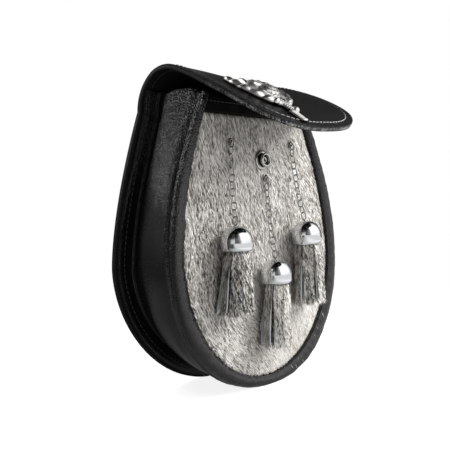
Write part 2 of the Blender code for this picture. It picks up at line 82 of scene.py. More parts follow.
GUSSET_WALL = 1.8
FLANGE_Y = BACK_Y - HIDE - GAP - GUSSET_WALL
PILLOW_START, PILLOW_FULL = 105.0, 168.0         # heights between which it grows
GUSSET_ROWS = (                  # blend to the back, y, inset low and high, top, bend followed
    (0.00, 8.2, 3.2, 3.0, 194.0, 0.0),
    (0.05, 10.4, 3.1, 0.9, 194.8, 0.0),
    (0.12, 14.0, 3.2, 0.2, 195.3, 0.0),
    (0.28, 20.0, 3.6, 0.0, 195.4, 0.0),
    (0.45, 27.0, 4.6, 1.6, 195.4, 0.1),
    (0.65, 34.0, 6.2, 5.4, 195.2, 0.4),
    (0.85, 40.0, 9.2, 9.6, 195.0, 0.8),
    (1.00, FLANGE_Y - 3.4, 12.4, 12.6, 195.0, 1.0),
    (1.00, FLANGE_Y - 0.7, 12.0, 12.2, 195.0, 1.0),
    (1.00, FLANGE_Y, 10.6, 10.8, 195.0, 1.0),
    (1.00, FLANGE_Y, 1.6, 3.0, 195.0, 1.0),
)
GUSSET_CLEARANCE = 0.4           # over the ground

RIM_SECTION = (                  # share of the way from the panel out to the rim, and y
    (0.00, 7.6), (0.00, -0.8), (0.10, -2.2), (0.27, -3.1), (0.50, -3.5), (0.75, -3.2),
    (0.92, -2.2), (1.00, -0.4), (0.98, 1.6), (0.84, 3.4), (0.78, 4.3), (0.91, 5.3),
    (0.97, 6.4), (0.88, 7.5), (0.60, 7.9),
)

FRONT_Y = (2.9, 4.9)             # front and rear faces of the leather front
FUR_BACK_Y = 2.6
FUR_CROWN_Y = -0.8               # how far forward the CAD's hair stands
FUR_TOP = 178.5
BINDING_BOTTOM = FUR_TOP + 0.4
BINDING_INNER_BOTTOM = 180.5
BINDING_TOP = 191.2
BINDING_LEATHER = 1.1

STUD_X, STUD_Z = 2.8, 150.0
STUD_RADIUS = 6.4
SOCKET_X, SOCKET_ALONG = 2.0, 116.0
BADGE_X, BADGE_START = -17.0, 68.0
BADGE_LEAN = -0.055              # sideways for each millimetre along

CHAIN_WIDTH = 3.6                # of the CAD links
CHAIN_OVERHANG = (5.8 - 4.45) / 2
CAP_RADIUS = 10.2
CAP_HEIGHT = 15.7
CAP_WALL = 0.8
CAP_LIP = 1.3                    # how far the cap draws in at its mouth
CAP_Y = FUR_CROWN_Y - GAP - CAP_RADIUS
Drop = namedtuple("Drop", "name anchor_x anchor_z cap_x cap_z tilt length lean spread")
DROPS = (
    Drop("left", -28.0, 162.0, -37.2, 92.2, 0.0, 37.5, -3.0, 11.2),
    Drop("centre", 5.0, 139.0, -0.5, 68.8, 0.0, 39.7, -2.4, 9.4),
    Drop("right", 33.8, 162.4, 35.2, 92.8, 8.0, 41.0, 1.2, 11.0),
)

# ---- sizes of what this script adds -----------------------------------------------------
LOWER_STEPS = 110                # stations of an outline up to its widest height
UPPER_STEPS = 90                 # and from there to its top
SECTION_STEPS = 4                # from each row of the gusset or the rim to the next
WAVES = 8                        # in each field of smooth noise
BEND_SAMPLES, FLAP_SAMPLES = 160, 140
STRAIGHT_ROWS, TIP_ROWS = 45, 60     # of the flap
TIP_ANGLE = 88.0                 # at which the rounded tip's last row lies
HIDE_COLUMNS = 44
INSIDE = np.array([0.0, 25.0, 95.0])     # a place inside the bag

STITCH_INSET = 5.4
STITCH_PITCH = 3.5
STITCH_LENGTH = 2.7
THREAD_RADIUS = 0.34
THREAD_FLATNESS = 0.8
THREAD_SINK = 0.12
THREAD_TIP_LIGHT = (34.0, 50.0)       # how far in front of the fur the thread is painted paler, a painted highlight, from and to
STITCH_START = 3.0               # height of the lowest stitch over the ground
FREE_START = 2.0                 # along the hide, from where its flesh side shows stitches
FLANGE_STITCH_TOP = 193.0
BINDING_STITCH_Z = 186.3

EDGE_BULGE = 0.5                 # of the hide's cut edge
EDGE_TIP_LIGHT = (-6.0, 40.0)         # how far in front of the fur the cut edge is painted paler, a painted highlight, from and to
EDGE_ROWS = (                    # depth and bulge: two layers with a shallow groove between
    (0.05, 0.28), (0.13, 0.42), (0.22, 0.46), (0.28, 0.40), (0.32, 0.26), (0.37, 0.42),
    (0.50, 0.50), (0.65, 0.52), (0.80, 0.50), (0.90, 0.42), (0.96, 0.26),
)
SOFT_EDGE = ((0.12, 0.35), (0.35, 0.6), (0.65, 0.6), (0.88, 0.35))
FLAP_SLACK = 0.16                # size of the flap's waves
GUSSET_SLACK, GUSSET_FOLDS = 0.5, 0.12
BINDING_SLACK = 0.12
BINDING_COLUMNS = 80

ROLL_INNER_TOP, ROLL_OUTER_TOP = 188.6, 192.4    # its soft ends slope up to the gusset
RIM_END = 2.0                    # over which each of them rounds off
HOLLOW = (0.30, 0.82)            # how far across the roll its hollow starts and ends there
PLEAT_WIDTH, PLEAT_DEPTH = 1.5, 0.30
CREASE_DEPTH, SWELL_DEPTH = 0.12, 0.16
GUSSET_ADVANCE = 1.5             # that its front edge comes forward at the top
ADVANCE_BLEND = 0.28             # and the blend at which it no longer does

FUR_PIECES = 3
FUR_HAIRS = 31200                # in each piece
FUR_FILL = 72.0                  # from the skin's edge to its middle
FUR_CUT = 0.35                   # length left of a hair that would lie over an edge or the stud
FUR_LENGTH, FUR_WIDTH, FUR_LIFT = (3.2, 6.0), (0.28, 0.60), (0.2, 1.2)
ROOT_MARGIN = 0.3                # between the roots and the skin's edge or the stud
TIP_OVERHANG = 0.8               # that a hair may lie out over the skin's edge
FUR_SEED, STRAY_SEED, CHAIN_SEED, TASSEL_SEED = 100, 46, 60, 70
STRAYS = 12
STRAY_ROOT_Y = -2.7

STRIPS_OUTSIDE, STRIPS_INSIDE = 7, 4
RING_OUTSIDE, RING_INSIDE = 8.0, 4.0     # radius of the rings that they hang in
SPREAD_RADIUS = 8.4              # at which a strip spreads as far as the tassel does
STRIP_HAIRS = 1180               # on each strip
STRIP_LEAN = -0.30               # sideways lean of their hair
STRIP_LENGTH, STRIP_WIDTH, STRIP_LIFT = (2.6, 5.2), (0.30, 0.62), (0.2, 1.2)
STRIP_NECK = 0.82                # its distance from the middle inside the cap, by its ring
TASSEL_DEPTH = 0.88              # of a tassel, by its width
TASSEL_TONE = {"left": 0.44, "centre": 0.64, "right": 0.50}    # how pale the hair is
SHINGLE = -0.20                  # radians that each strip's edge stands out over the next

LINK_PITCH = 4.45
LINK_WIDTH = 4.4
LINK_WIRE = 0.36                 # radius of the wire
LINK_STEPS, LINK_SIDES = 26, 8   # around a link and around its wire
EYE_LENGTH, EYE_WIDTH, EYE_WIRE = 3.4, 2.8, 0.42
EYES = ((0.4, 0.9, 1.9), (-0.9, 0.8, 0.2))     # from the first link

LEAF_STEPS, LEAF_COLUMNS = 12, 17        # of a cast leaf

ORIGIN_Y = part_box("back_and_flap")[1].y / MM - BACK_Y


# ---- numbers ----------------------------------------------------------------------------
def lerp(a, b, t):
    """The value that lies this share of the way from a to b."""
    return a + (b - a) * t


def smooth_step(value, low, high):
    """0 at low and beyond it, 1 at high and beyond it, and a smooth change between."""
    t = np.clip((value - low) / (high - low), 0.0, 1.0)
    return t * t * (3.0 - 2.0 * t)


def unit(vectors):
    """The vectors at length 1."""
    return vectors / np.maximum(np.linalg.norm(vectors, axis=-1, keepdims=True), 1e-12)


def square_to(a, b):
    """Directions of length 1 that are square to both of these."""
    return unit(np.cross(a, b))


def round_angles(count):
    """This many even steps of a full turn."""
    return np.arange(count) * TURN / count


def rows_of(*columns):
    """Rows whose columns are these, each an array or one number."""
    return np.stack(np.broadcast_arrays(*columns), axis=-1)


def wander(points, size, seed):
    """Smooth noise from about -1 to 1 at points: sine waves in seeded directions."""
    random = np.random.default_rng(seed)
    points = np.asarray(points, float)
    total = np.zeros(points.shape[:-1])
    for _ in range(WAVES):
        direction = unit(random.normal(size=points.shape[-1]))
        length = size * random.uniform(0.7, 1.6)
        total += np.sin(points @ (direction * TURN / length) + random.uniform(0.0, TURN))
    return total / math.sqrt(WAVES)


def speckle(points, size, seed):
    """Uneven patches of about this size at 2-D points, from -1 to 1."""
    cells = 256
    table = np.random.default_rng(seed).uniform(-1.0, 1.0, (cells, cells))
    at = np.asarray(points, float) / size
    low = np.floor(at).astype(int)
    part = at - low
    part = part * part * (3.0 - 2.0 * part)
    i, j = low[..., 0] % cells, low[..., 1] % cells
    i2, j2 = (i + 1) % cells, (j + 1) % cells
    return lerp(lerp(table[i, j], table[i2, j], part[..., 0]),
                lerp(table[i, j2], table[i2, j2], part[..., 0]), part[..., 1])


def through(rows, steps, closed=False):
    """Smooth curve through rows of numbers, with this many steps from each to the next."""
    rows = np.asarray(rows, float)
    if closed:
        ends = np.vstack([rows[-1:], rows, rows[:2]])
    else:
        ends = np.vstack([2 * rows[:1] - rows[1:2], rows, 2 * rows[-1:] - rows[-2:-1]])
    made = []
    for a, b, c, d in zip(ends, ends[1:], ends[2:], ends[3:]):
        for t in np.arange(steps) / steps:
            made.append(0.5 * (2 * b + (c - a) * t + (2 * a - 5 * b + 4 * c - d) * t * t
                               + (3 * b - 3 * c + d - a) * t ** 3))
    if not closed:
        made.append(rows[-1])
    return np.array(made)


def run_along(path):
    """Distance along a path at each of its points."""
    return np.concatenate([[0.0], np.cumsum(np.linalg.norm(np.diff(path, axis=0), axis=1))])


def resample(path, spacing, closed=False):
    """Points at an even spacing along a path, and the path's direction there."""
    path = np.asarray(path, float)
    if closed:
        path = np.vstack([path, path[:1]])
    run = run_along(path)
    count = max(int(round(run[-1] / spacing)), 1)
    at = (np.arange(count) + 0.5) * run[-1] / count
    step = 0.3

    def read(where):
        return rows_of(*(np.interp(where, run, column) for column in path.T))

    return read(at), unit(read(at + step) - read(at - step))


# ---- outlines ---------------------------------------------------------------------------
def upper_half(shape, z):
    """Half-width at heights over the widest one; the back is straight above its top."""
    rise = (z - shape.widest) / (shape.top - shape.widest)
    if shape is BACK:
        rise = np.minimum(rise, 1.0)
    return shape.half - (shape.half - shape.top_half) * np.maximum(rise, 0.0) ** shape.taper


def lower_points(shape):
    """Outline from the bottom up to its widest height, as rows of x and z."""
    angle = np.linspace(0.0, math.pi / 2, LOWER_STEPS + 1)
    power = 2.0 / shape.roundness
    fall = np.maximum(np.cos(angle), 0.0) ** power
    return rows_of(shape.half * np.sin(angle) ** power,
                   shape.widest - (shape.widest - shape.bottom) * fall)


def upper_heights(widest, top):
    """Heights of an outline's stations above its widest one."""
    return lerp(widest, top, np.arange(1, UPPER_STEPS + 1) / UPPER_STEPS)


def outline(front, rear, blend, top):
    """Right-hand half of a blend of two outlines, from the bottom up, as rows of x and z."""
    lower = lerp(lower_points(front), lower_points(rear), blend)
    z = upper_heights(lerp(front.widest, rear.widest, blend), top)
    upper = rows_of(lerp(upper_half(front, z), upper_half(rear, z), blend), z)
    return np.vstack([lower, upper])


def inset(points, amount):
    """Half of an outline moved inwards; its first point stays on the middle line."""
    tangent = np.gradient(points, axis=0)
    tangent[0] = (1.0, 0.0)
    tangent = unit(tangent)
    inward = rows_of(-tangent[:, 1], tangent[:, 0])
    moved = points + inward * np.reshape(amount, (-1, 1))
    moved[0, 0] = 0.0
    return moved


def both_sides(half):
    """Right-hand half of an outline as the whole, from its left end round to its right."""
    return np.vstack([half[::-1] * (-1.0, 1.0), half[1:]])


def edge_line(shape, top, amount=0.0):
    """One shape's whole outline up to this height, moved inwards."""
    return both_sides(inset(outline(shape, shape, 0.0, top), amount))


def both_ends(half):
    """A value along one half of an outline as the same value along both."""
    return np.concatenate([half[::-1], half[1:]])


# ---- the bent hide ----------------------------------------------------------------------
def bend_profile():
    """Side view of the hide's outer surface: length, y and z from the start of the bend."""
    slope, end_slope = math.radians(FLAP_SLOPE_START), math.radians(FLAP_SLOPE_END)
    angle = np.linspace(0.0, math.pi / 2 + slope, BEND_SAMPLES)
    bend = rows_of(BEND_RADIUS * angle, BACK_Y - BEND_RADIUS * (1.0 - np.cos(angle)),
                   BACK.top + BEND_RADIUS * np.sin(angle))
    step = (FLAP_LENGTH - bend[-1, 0]) / FLAP_SAMPLES
    heading = lerp(slope, end_slope, (np.arange(FLAP_SAMPLES) + 0.5) / FLAP_SAMPLES)
    moves = rows_of(1.0, -np.cos(heading), -np.sin(heading))
    return np.vstack([bend, bend[-1] + np.cumsum(moves * step, axis=0)])


PROFILE = bend_profile()


def bend_ease(along):
    """0 on the back and 1 on the flap, with an even change around the start of the bend."""
    return np.clip((along + TILT_EASE) / (2.0 * TILT_EASE), 0.0, 1.0)


def tilt(x, along):
    """How much higher a point lies than the middle of its row."""
    untwist = TIP_UNTWIST * np.maximum(along, 0.0) / 100.0
    return (BEND_TILT * bend_ease(along) + untwist) * x / TILT_SPAN


def hide_points(x, along):
    """Points of the hide's outer surface; along is measured up the back from the bend."""
    x, along = np.broadcast_arrays(np.asarray(x, float), np.asarray(along, float))
    y = np.interp(along, PROFILE[:, 0], PROFILE[:, 1])
    z = np.interp(along, PROFILE[:, 0], PROFILE[:, 2]) + np.minimum(along, 0.0)
    shift = BEND_SHIFT * bend_ease(along) + FLAP_SHIFT * np.maximum(along, 0.0) / 100.0
    curl = EDGE_RISE * (x / TILT_SPAN) ** 2 * np.clip(along / TILT_SPAN, 0.0, 1.0)
    return rows_of(x + shift, y, z + tilt(x, along) + curl)


def hide_normals(x, along):
    """Directions out of the hide's outer surface."""
    step = 0.5
    across = hide_points(x + step, along) - hide_points(x - step, along)
    forward = hide_points(x, along + step) - hide_points(x, along - step)
    return square_to(forward, across)


def flap_half(along):
    """Half-width of the flap at a distance along."""
    end = np.clip((along - (FLAP_LENGTH - FLAP_END)) / FLAP_END, 0.0, 1.0)
    return BACK.top_half * (1.0 - end ** FLAP_END_ROUNDNESS) ** (1.0 / FLAP_END_ROUNDNESS)


def flange_depth(z):
    """How far the bend brings the flange forward at this height."""
    radius = BEND_RADIUS - (HIDE + GAP + GUSSET_WALL)
    rise = np.clip(z - BACK.top, 0.0, radius)
    return radius - np.sqrt(radius * radius - rise * rise)


def hide_rows():
    """Half-width and distance along of each row of the hide, from the ground to the tip."""
    lower = lower_points(BACK)
    low = np.concatenate([[GROUND], lower[lower[:, 1] > GROUND + 0.2, 1]])
    high = upper_heights(BACK.widest, BACK.top)
    round_start = FLAP_LENGTH - FLAP_END
    straight = np.linspace(0.0, round_start, STRAIGHT_ROWS + 1)[1:]
    turns = np.radians(np.linspace(0.0, TIP_ANGLE, TIP_ROWS + 1)[1:])
    tip = round_start + FLAP_END * np.sin(turns)
    return np.vstack([
        rows_of(np.interp(low, lower[:, 1], lower[:, 0]), low - BACK.top),
        rows_of(upper_half(BACK, high), high - BACK.top),
        rows_of(BACK.top_half, straight),
        rows_of(flap_half(tip), tip),
    ])


# ---- shapes: points, quads and triangles ------------------------------------------------
Shape = namedtuple("Shape", "points quads tris values")
NO_TRIS = np.zeros((0, 3), int)


def grid_quads(rows, columns, wrap_rows=False, wrap_columns=False):
    """Quads between the points of a grid, which are numbered row by row."""
    r = np.arange(rows if wrap_rows else rows - 1)[:, None]
    c = np.arange(columns if wrap_columns else columns - 1)[None, :]
    r2, c2 = (r + 1) % rows, (c + 1) % columns
    return rows_of(r * columns + c, r * columns + c2, r2 * columns + c2,
                   r2 * columns + c).reshape(-1, 4)


def merge(shapes):
    """Several shapes as one."""
    starts = np.cumsum([0] + [len(s.points) for s in shapes])
    return Shape(
        np.vstack([s.points for s in shapes]),
        np.vstack([s.quads + n for s, n in zip(shapes, starts)]),
        np.vstack([s.tris + n for s, n in zip(shapes, starts)]),
        {name: np.concatenate([s.values[name] for s in shapes]) for name in shapes[0].values},
    )


def outward(shape):
    """The same closed shape with its faces pointing out."""
    quads, tris = shape.quads, shape.tris
    fan = np.vstack([quads[:, :3], quads[:, [0, 2, 3]], tris])
    a, b, c = (shape.points[fan[:, i]] for i in range(3))
    if np.einsum("ij,ij->i", a, np.cross(b, c)).sum() < 0.0:
        quads, tris = quads[:, ::-1], tris[:, ::-1]
    return Shape(shape.points, quads, tris, shape.values)


def loft(rings, **values):
    """Closed skin through rings (an array of ring, point, xyz), with flat ends."""
    rings = np.asarray(rings, float)
    count, sides = rings.shape[:2]
    around = np.arange(sides)
    following = (around + 1) % sides
    last = (count - 1) * sides
    first_end, last_end = count * sides, count * sides + 1
    tris = np.vstack([rows_of(following, around, first_end),
                      rows_of(last + around, last + following, last_end)])
    full = {}
    for name, value in values.items():
        value = np.broadcast_to(value, (count, sides))
        full[name] = np.concatenate([value.ravel(), [value[0].mean(), value[-1].mean()]])
    points = np.vstack([rings.reshape(-1, 3), rings[0].mean(0), rings[-1].mean(0)])
    return Shape(points, grid_quads(count, sides, wrap_columns=True), tris, full)


def turned(profile, sides, **values):
    """Solid of revolution about z from rows of radius and height, with a value for each row."""
    angle = round_angles(sides)
    radius, height = np.hsplit(np.asarray(profile, float), 2)
    return loft(rows_of(radius * np.cos(angle), radius * np.sin(angle), height),
                **{name: np.reshape(value, (-1, 1)) for name, value in values.items()})


def copies(shape, places, across, along, up):
    """The shape repeated at places, with its x, y and z turned to these directions."""
    count, size = len(places), len(shape.points)
    frames = np.stack([across, along, up], axis=1)
    points = places[:, None] + np.einsum("pi,nij->npj", shape.points, frames)
    starts = (np.arange(count) * size)[:, None, None]
    return Shape(
        points.reshape(-1, 3), (shape.quads[None] + starts).reshape(-1, 4),
        (shape.tris[None] + starts).reshape(-1, 3),
        {name: np.tile(value, count) for name, value in shape.values.items()},
    )


def grid_normals(grid):
    """Directions square to a grid's surface at each of its points."""
    return square_to(np.gradient(grid, axis=0), np.gradient(grid, axis=1))


def wall(outer, inner, edge):
    """Closed leather wall between two grids; edge: rows of depth share and bulge.

    The value "cut" is 1 on the cut edge, and "under" runs from 0 outside to 1 inside.
    """
    rows, columns = outer.shape[:2]
    index = np.arange(rows * columns).reshape(rows, columns)
    border = np.concatenate([index[0, :-1], index[:-1, -1], index[-1, :0:-1], index[:0:-1, 0]])
    away = np.zeros_like(outer)
    away[0] += outer[0] - outer[1]
    away[-1] += outer[-1] - outer[-2]
    away[:, 0] += outer[:, 0] - outer[:, 1]
    away[:, -1] += outer[:, -1] - outer[:, -2]
    away = unit(away).reshape(-1, 3)[border]
    top = outer.reshape(-1, 3)[border]
    bottom = inner.reshape(-1, 3)[border]
    loops = [lerp(top, bottom, depth) + away * bulge for depth, bulge in edge]
    flat = rows * columns
    size = len(border)
    lines = np.vstack([border, *[2 * flat + k * size + np.arange(size)
                                 for k in range(len(edge))], border + flat])
    strips = [rows_of(low, high, np.roll(high, -1), np.roll(low, -1))
              for low, high in zip(lines, lines[1:])]
    quads = grid_quads(rows, columns)
    depths = np.repeat([depth for depth, _ in edge], size)
    values = {"cut": np.repeat([0.0, 1.0], [2 * flat, len(depths)]),
              "under": np.concatenate([np.zeros(flat), np.ones(flat), depths])}
    points = np.vstack([outer.reshape(-1, 3), inner.reshape(-1, 3), *loops])
    return outward(Shape(points, np.vstack([quads, quads[:, ::-1] + flat, *strips]), NO_TRIS,
                         values))


# ---- objects ----------------------------------------------------------------------------
def put(points):
    """Places in the bag's millimetres as the model's metres."""
    return (np.asarray(points, float) + (0.0, ORIGIN_Y, -GROUND)) * MM


def add_object(name, data):
    """A new object in the scene."""
    made = bpy.data.objects.new(name, data)
    bpy.context.scene.collection.objects.link(made)
    return made


def add_piece(name, shape, materials, replaced, pick=None):
    """Object from a shape; pick is the number of each face's material."""
    data = bpy.data.meshes.new(name)
    corners = np.concatenate([shape.quads.ravel(), shape.tris.ravel()])
    quads, tris = len(shape.quads), len(shape.tris)
    starts = np.concatenate([np.arange(quads) * 4, quads * 4 + np.arange(tris) * 3])
    data.vertices.add(len(shape.points))
    data.vertices.foreach_set("co", put(shape.points).astype(np.float32).ravel())
    data.loops.add(len(corners))
    data.loops.foreach_set("vertex_index", corners.astype(np.int32))
    data.polygons.add(quads + tris)
    data.polygons.foreach_set("loop_start", starts.astype(np.int32))
    for key, value in shape.values.items():
        attribute = data.attributes.new(key, "FLOAT", "POINT")
        attribute.data.foreach_set("value", value.astype(np.float32))
    for material in materials:
        data.materials.append(material)
    if pick is not None:
        data.polygons.foreach_set("material_index", pick.astype(np.int32))
    data.update(calc_edges=True)
    data.shade_smooth()
    made = add_object(name, data)
    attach(made, "root")
    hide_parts(*replaced)
    return made


def faces_with(shape, value, threshold):
    """True for each face whose corners' mean value passes the threshold."""
    return np.concatenate([shape.values[value][faces].mean(axis=1) > threshold
                           for faces in (shape.quads, shape.tris)])


def wall_faces(shape):
    """Material of each face of a wall: 0 outside, 1 on the cut edge and 2 inside."""
    inside = np.where(faces_with(shape, "under", 0.9), 2, 0)
    return np.where(faces_with(shape, "cut", 0.4), 1, inside)


# ---- materials --------------------------------------------------------------------------
class Nodes:
    """A node tree, with short calls that add nodes and join them."""

    def __init__(self, tree):
        self.tree = tree

    def add(self, kind, inputs=(), **settings):
        """A new node; each input is a value or another node's output."""
        made = self.tree.nodes.new("ShaderNode" + kind)
        for key, value in settings.items():
            setattr(made, key, value)
        for key, value in dict(inputs).items():
            self.join(value, made.inputs[key])
        return made

    def join(self, value, socket):
        """Give an input a value or another node's output."""
        if isinstance(value, bpy.types.NodeSocket):
            self.tree.links.new(value, socket)
        else:
            socket.default_value = value

    def math(self, operation, a, b=0.0, c=0.0):
        """Result of one sum on up to three values."""
        return self.add("Math", {0: a, 1: b, 2: c}, operation=operation).outputs[0]

    def times(self, a, b, plus=0.0):
        """a times b, and a third value added."""
        return self.math("MULTIPLY_ADD", a, b, plus)

    def span(self, value, low, high, to_low=0.0, to_high=1.0):
        """The value's stretch from low to high, as to_low to to_high."""
        return self.add("MapRange", {"Value": value, "From Min": low, "From Max": high,
                                     "To Min": to_low, "To Max": to_high}).outputs["Result"]

    def vector(self, operation, a, b=(0.0, 0.0, 0.0)):
        """Node that does one sum on vectors; some give a number and some a vector."""
        return self.add("VectorMath", {0: a, 1: b}, operation=operation)

    def ramp(self, value, *stops):
        """Colour for a value, between stops of a place and a colour."""
        made = self.add("ValToRGB", {"Fac": value})
        elements = made.color_ramp.elements
        while len(elements) < len(stops):
            elements.new(0.5)
        for element, (position, colour) in zip(elements, stops):
            element.position = position
            element.color = (*colour, 1.0)
        return made.outputs["Color"]

    def grey_ramp(self, value, stops):
        """The same between stops of a place and a brightness."""
        return self.ramp(value, *((place, (level, level, level)) for place, level in stops))


class Shader(Nodes):
    """A material's nodes, with the textures that its surfaces are made from."""

    def __init__(self, name, **settings):
        self.material = bpy.data.materials.new(name)
        self.material.use_nodes = True
        super().__init__(self.material.node_tree)
        self.surface = self.tree.nodes["Principled BSDF"]
        for key, value in settings.items():
            self.surface.inputs[key.replace("_", " ")].default_value = value
        self.place = self.add("TexCoord").outputs["Object"]

    def noise(self, size, detail, vector=None, roughness=0.55):
        """Noise with features of this size in millimetres."""
        return self.add("TexNoise", {"Vector": vector or self.place, "Scale": 1.0 / (size * MM),
                                     "Detail": detail, "Roughness": roughness}).outputs["Fac"]

    def cells(self, size, vector):
        """Distance from the middles of cells of this size in millimetres."""
        return self.add("TexVoronoi", {"Vector": vector, "Scale": 1.0 / (size * MM)},
                        feature="F1").outputs["Distance"]

    def stretched(self, x, y, z):
        """The place with its axes stretched by these factors."""
        return self.add("Mapping", {"Vector": self.place, "Scale": (x, y, z)}).outputs[0]

    def warped(self, size, amount):
        """The place pushed about by noise."""
        push = self.add("TexNoise", {"Vector": self.place, "Scale": 1.0 / (size * MM),
                                     "Detail": 2.0}).outputs["Color"]
        shift = self.vector("SUBTRACT", push, (0.5, 0.5, 0.5)).outputs[0]
        scaled = self.add("VectorMath", {0: shift, "Scale": amount * MM}, operation="SCALE")
        return self.vector("ADD", self.place, scaled.outputs[0]).outputs[0]

    def value(self, name):
        """The value that a shape gives its points under this name."""
        return self.add("Attribute", attribute_name=name).outputs["Fac"]

    def mix(self, factor, a, b):
        """Colour this share of the way from a to b; the sockets are those of the colour kind."""
        made = self.add("Mix", data_type="RGBA")
        for socket, value in zip((0, 6, 7), (factor, a, b)):
            value = (*value, 1.0) if isinstance(value, tuple) else value
            self.join(value, made.inputs[socket])
        return made.outputs[2]

    def bump(self, height, depth, strength=1.0):
        """Surface direction with this relief, in millimetres."""
        return self.add("Bump", {"Height": height, "Distance": depth * MM,
                                 "Strength": strength}).outputs["Normal"]

    def finish(self, colour, roughness, normal=None):
        """The material, with these on its surface."""
        self.join(colour, self.surface.inputs["Base Color"])
        self.join(roughness, self.surface.inputs["Roughness"])
        if normal is not None:
            self.join(normal, self.surface.inputs["Normal"])
        return self.material


# low on the bag the grain is stretched flat: two heights in metres and its strength at each
GRAIN_FADE = (0.10, 0.16, 0.15, 1.0)
RIM_FADE = (0.05, 0.13, 0.25, 1.0)


def leather(name, dark, light, grain, depth, roughness, specular, stretch=1.0,
            fade=GRAIN_FADE):
    """Finished leather: rounded pebbles of two sizes, pores, uneven dye and polish."""
    s = Shader(name, Specular_IOR_Level=specular)
    fresh = s.span(s.add("SeparateXYZ", {0: s.place}).outputs[2], *fade)
    s.place = s.stretched(stretch, 1.0, 1.0)
    bent = s.warped(grain * 3.0, grain * 0.25)
    pebble = s.span(s.cells(grain, bent), 0.85, 0.0)
    small = s.span(s.cells(grain * 0.5, bent), 0.75, 0.05)
    height = pebble
    for relief, share in ((small, 0.25), (s.noise(grain * 0.3, 2.0), 0.12),
                          (s.noise(grain * 5.0, 2.0), 0.10)):
        height = s.times(relief, share, height)
    tone = s.times(s.noise(28.0, 3.0), 0.6, s.times(pebble, 0.4))
    polish = s.times(s.noise(9.0, 4.0), 0.18, roughness - 0.09)
    polish = s.times(pebble, -0.10, polish)
    return s.finish(s.mix(tone, dark, light), polish, s.bump(height, depth, fresh))


def cut_leather(name, dark, light):
    """Raw edge of thick leather: two layers of packed fibres, paler in the middle of its depth,
    with a painted highlight that makes it paler towards the tip.
    """
    s = Shader(name, Specular_IOR_Level=0.15)
    fibres = s.noise(0.9, 4.0, roughness=0.7)
    patches = s.noise(6.0, 3.0)
    tone = s.span(s.times(patches, 0.7, s.times(fibres, 1.6)), 1.06, 1.48)
    layer = s.math("ABSOLUTE", s.math("SUBTRACT", s.value("under"), 0.6))
    # painted highlight: the edge turns paler towards the flap's tip, where the front light falls
    # on it
    wear_and_light = s.times(s.span(layer, 0.12, 0.45, 1.0, 0.10),
                   s.span(s.value("tip"), 0.0, 1.0, 0.06, 1.0))
    return s.finish(s.mix(s.times(tone, wear_and_light), dark, light),
                    s.span(patches, 0.3, 0.7, 0.45, 0.7), s.bump(fibres, 0.2))


def flesh_side(name, dark, light):
    """Napped inner face of a hide."""
    s = Shader(name, Specular_IOR_Level=0.25)
    nap = s.noise(0.7, 5.0, roughness=0.75)
    tone = s.times(nap, 0.5, s.times(s.noise(12.0, 3.0), 0.5))
    return s.finish(s.mix(tone, dark, light), s.span(nap, 0.2, 0.8, 0.75, 0.9),
                    s.bump(nap, 0.25))


def hair_material(name, stops, roughness):
    """Hair: each has its own shade, darker at its root, with a fine uneven streak."""
    s = Shader(name, Specular_IOR_Level=0.35)
    streak = s.noise(0.8, 2.0, s.stretched(1.0, 1.0, 0.25))
    tone = s.times(streak, 0.16, s.math("SUBTRACT", s.value("shade"), 0.08))
    tone = s.times(tone, s.span(s.value("reach"), 0.0, 0.35, 0.62, 1.0))
    return s.finish(s.ramp(tone, *stops), s.times(streak, 0.15, roughness - 0.07))


def skin_material(name, dark, light):
    """Skin below the hair, streaked by the lie of the hair."""
    s = Shader(name, Specular_IOR_Level=0.2)
    streak = s.noise(1.2, 3.0, s.stretched(1.0, 1.0, 0.3))
    return s.finish(s.mix(streak, dark, light), s.span(streak, 0.3, 0.7, 0.7, 0.9),
                    s.bump(streak, 0.4))


def metal(name, light, roughness, spread, dark=None, wear_and_light=0.0):
    """Metal with faint smears in its polish and, where dark is given, dull dark recesses."""
    s = Shader(name, Metallic=1.0)
    smear = s.noise(3.5, 4.0)
    fine = s.noise(0.6, 3.0)
    polish = s.times(smear, spread, roughness)
    colour = s.mix(s.span(smear, 0.25, 0.75), tuple(0.93 * c for c in light), light)
    if dark:
        recess = s.span(s.value("recess"), 0.15, 0.85)
        recess = s.times(s.math("SUBTRACT", fine, 0.5), 0.6, recess)
        colour = s.mix(s.span(recess, 0.15, 0.9), light, dark)
        polish = s.times(recess, wear_and_light, polish)
    return s.finish(colour, polish, s.bump(fine, 0.02 if dark else 0.003))


def thread_material(name, dark, light):
    """Waxed thread with a twist, with a painted highlight: dark, and paler towards the flap's
    tip.
    """
    s = Shader(name, Specular_IOR_Level=0.4)
    # painted highlight: the thread turns from dark to pale towards the flap's tip
    twist = s.times(s.noise(0.35, 3.0), s.span(s.value("tip"), 0.0, 1.0, 0.1, 1.0))
    return s.finish(s.mix(twist, dark, light), s.span(twist, 0.3, 0.7, 0.5, 0.7),
                    s.bump(twist, 0.1))


BLACK, BLACK_LIGHT = (0.001, 0.001, 0.0012), (0.0045, 0.0045, 0.005)
LEATHER = leather("smooth_black_leather", (0.0012, 0.0012, 0.0015), BLACK_LIGHT,
                  grain=1.0, depth=0.08, roughness=0.42, specular=0.36)
GRAIN = leather("grained_black_leather", BLACK, BLACK_LIGHT,
                grain=1.05, depth=0.50, roughness=0.27, specular=0.52)
RIM_GRAIN = leather("gathered_black_leather", BLACK, BLACK_LIGHT, grain=1.15, depth=0.46,
                    roughness=0.28, specular=0.52, stretch=0.7, fade=RIM_FADE)
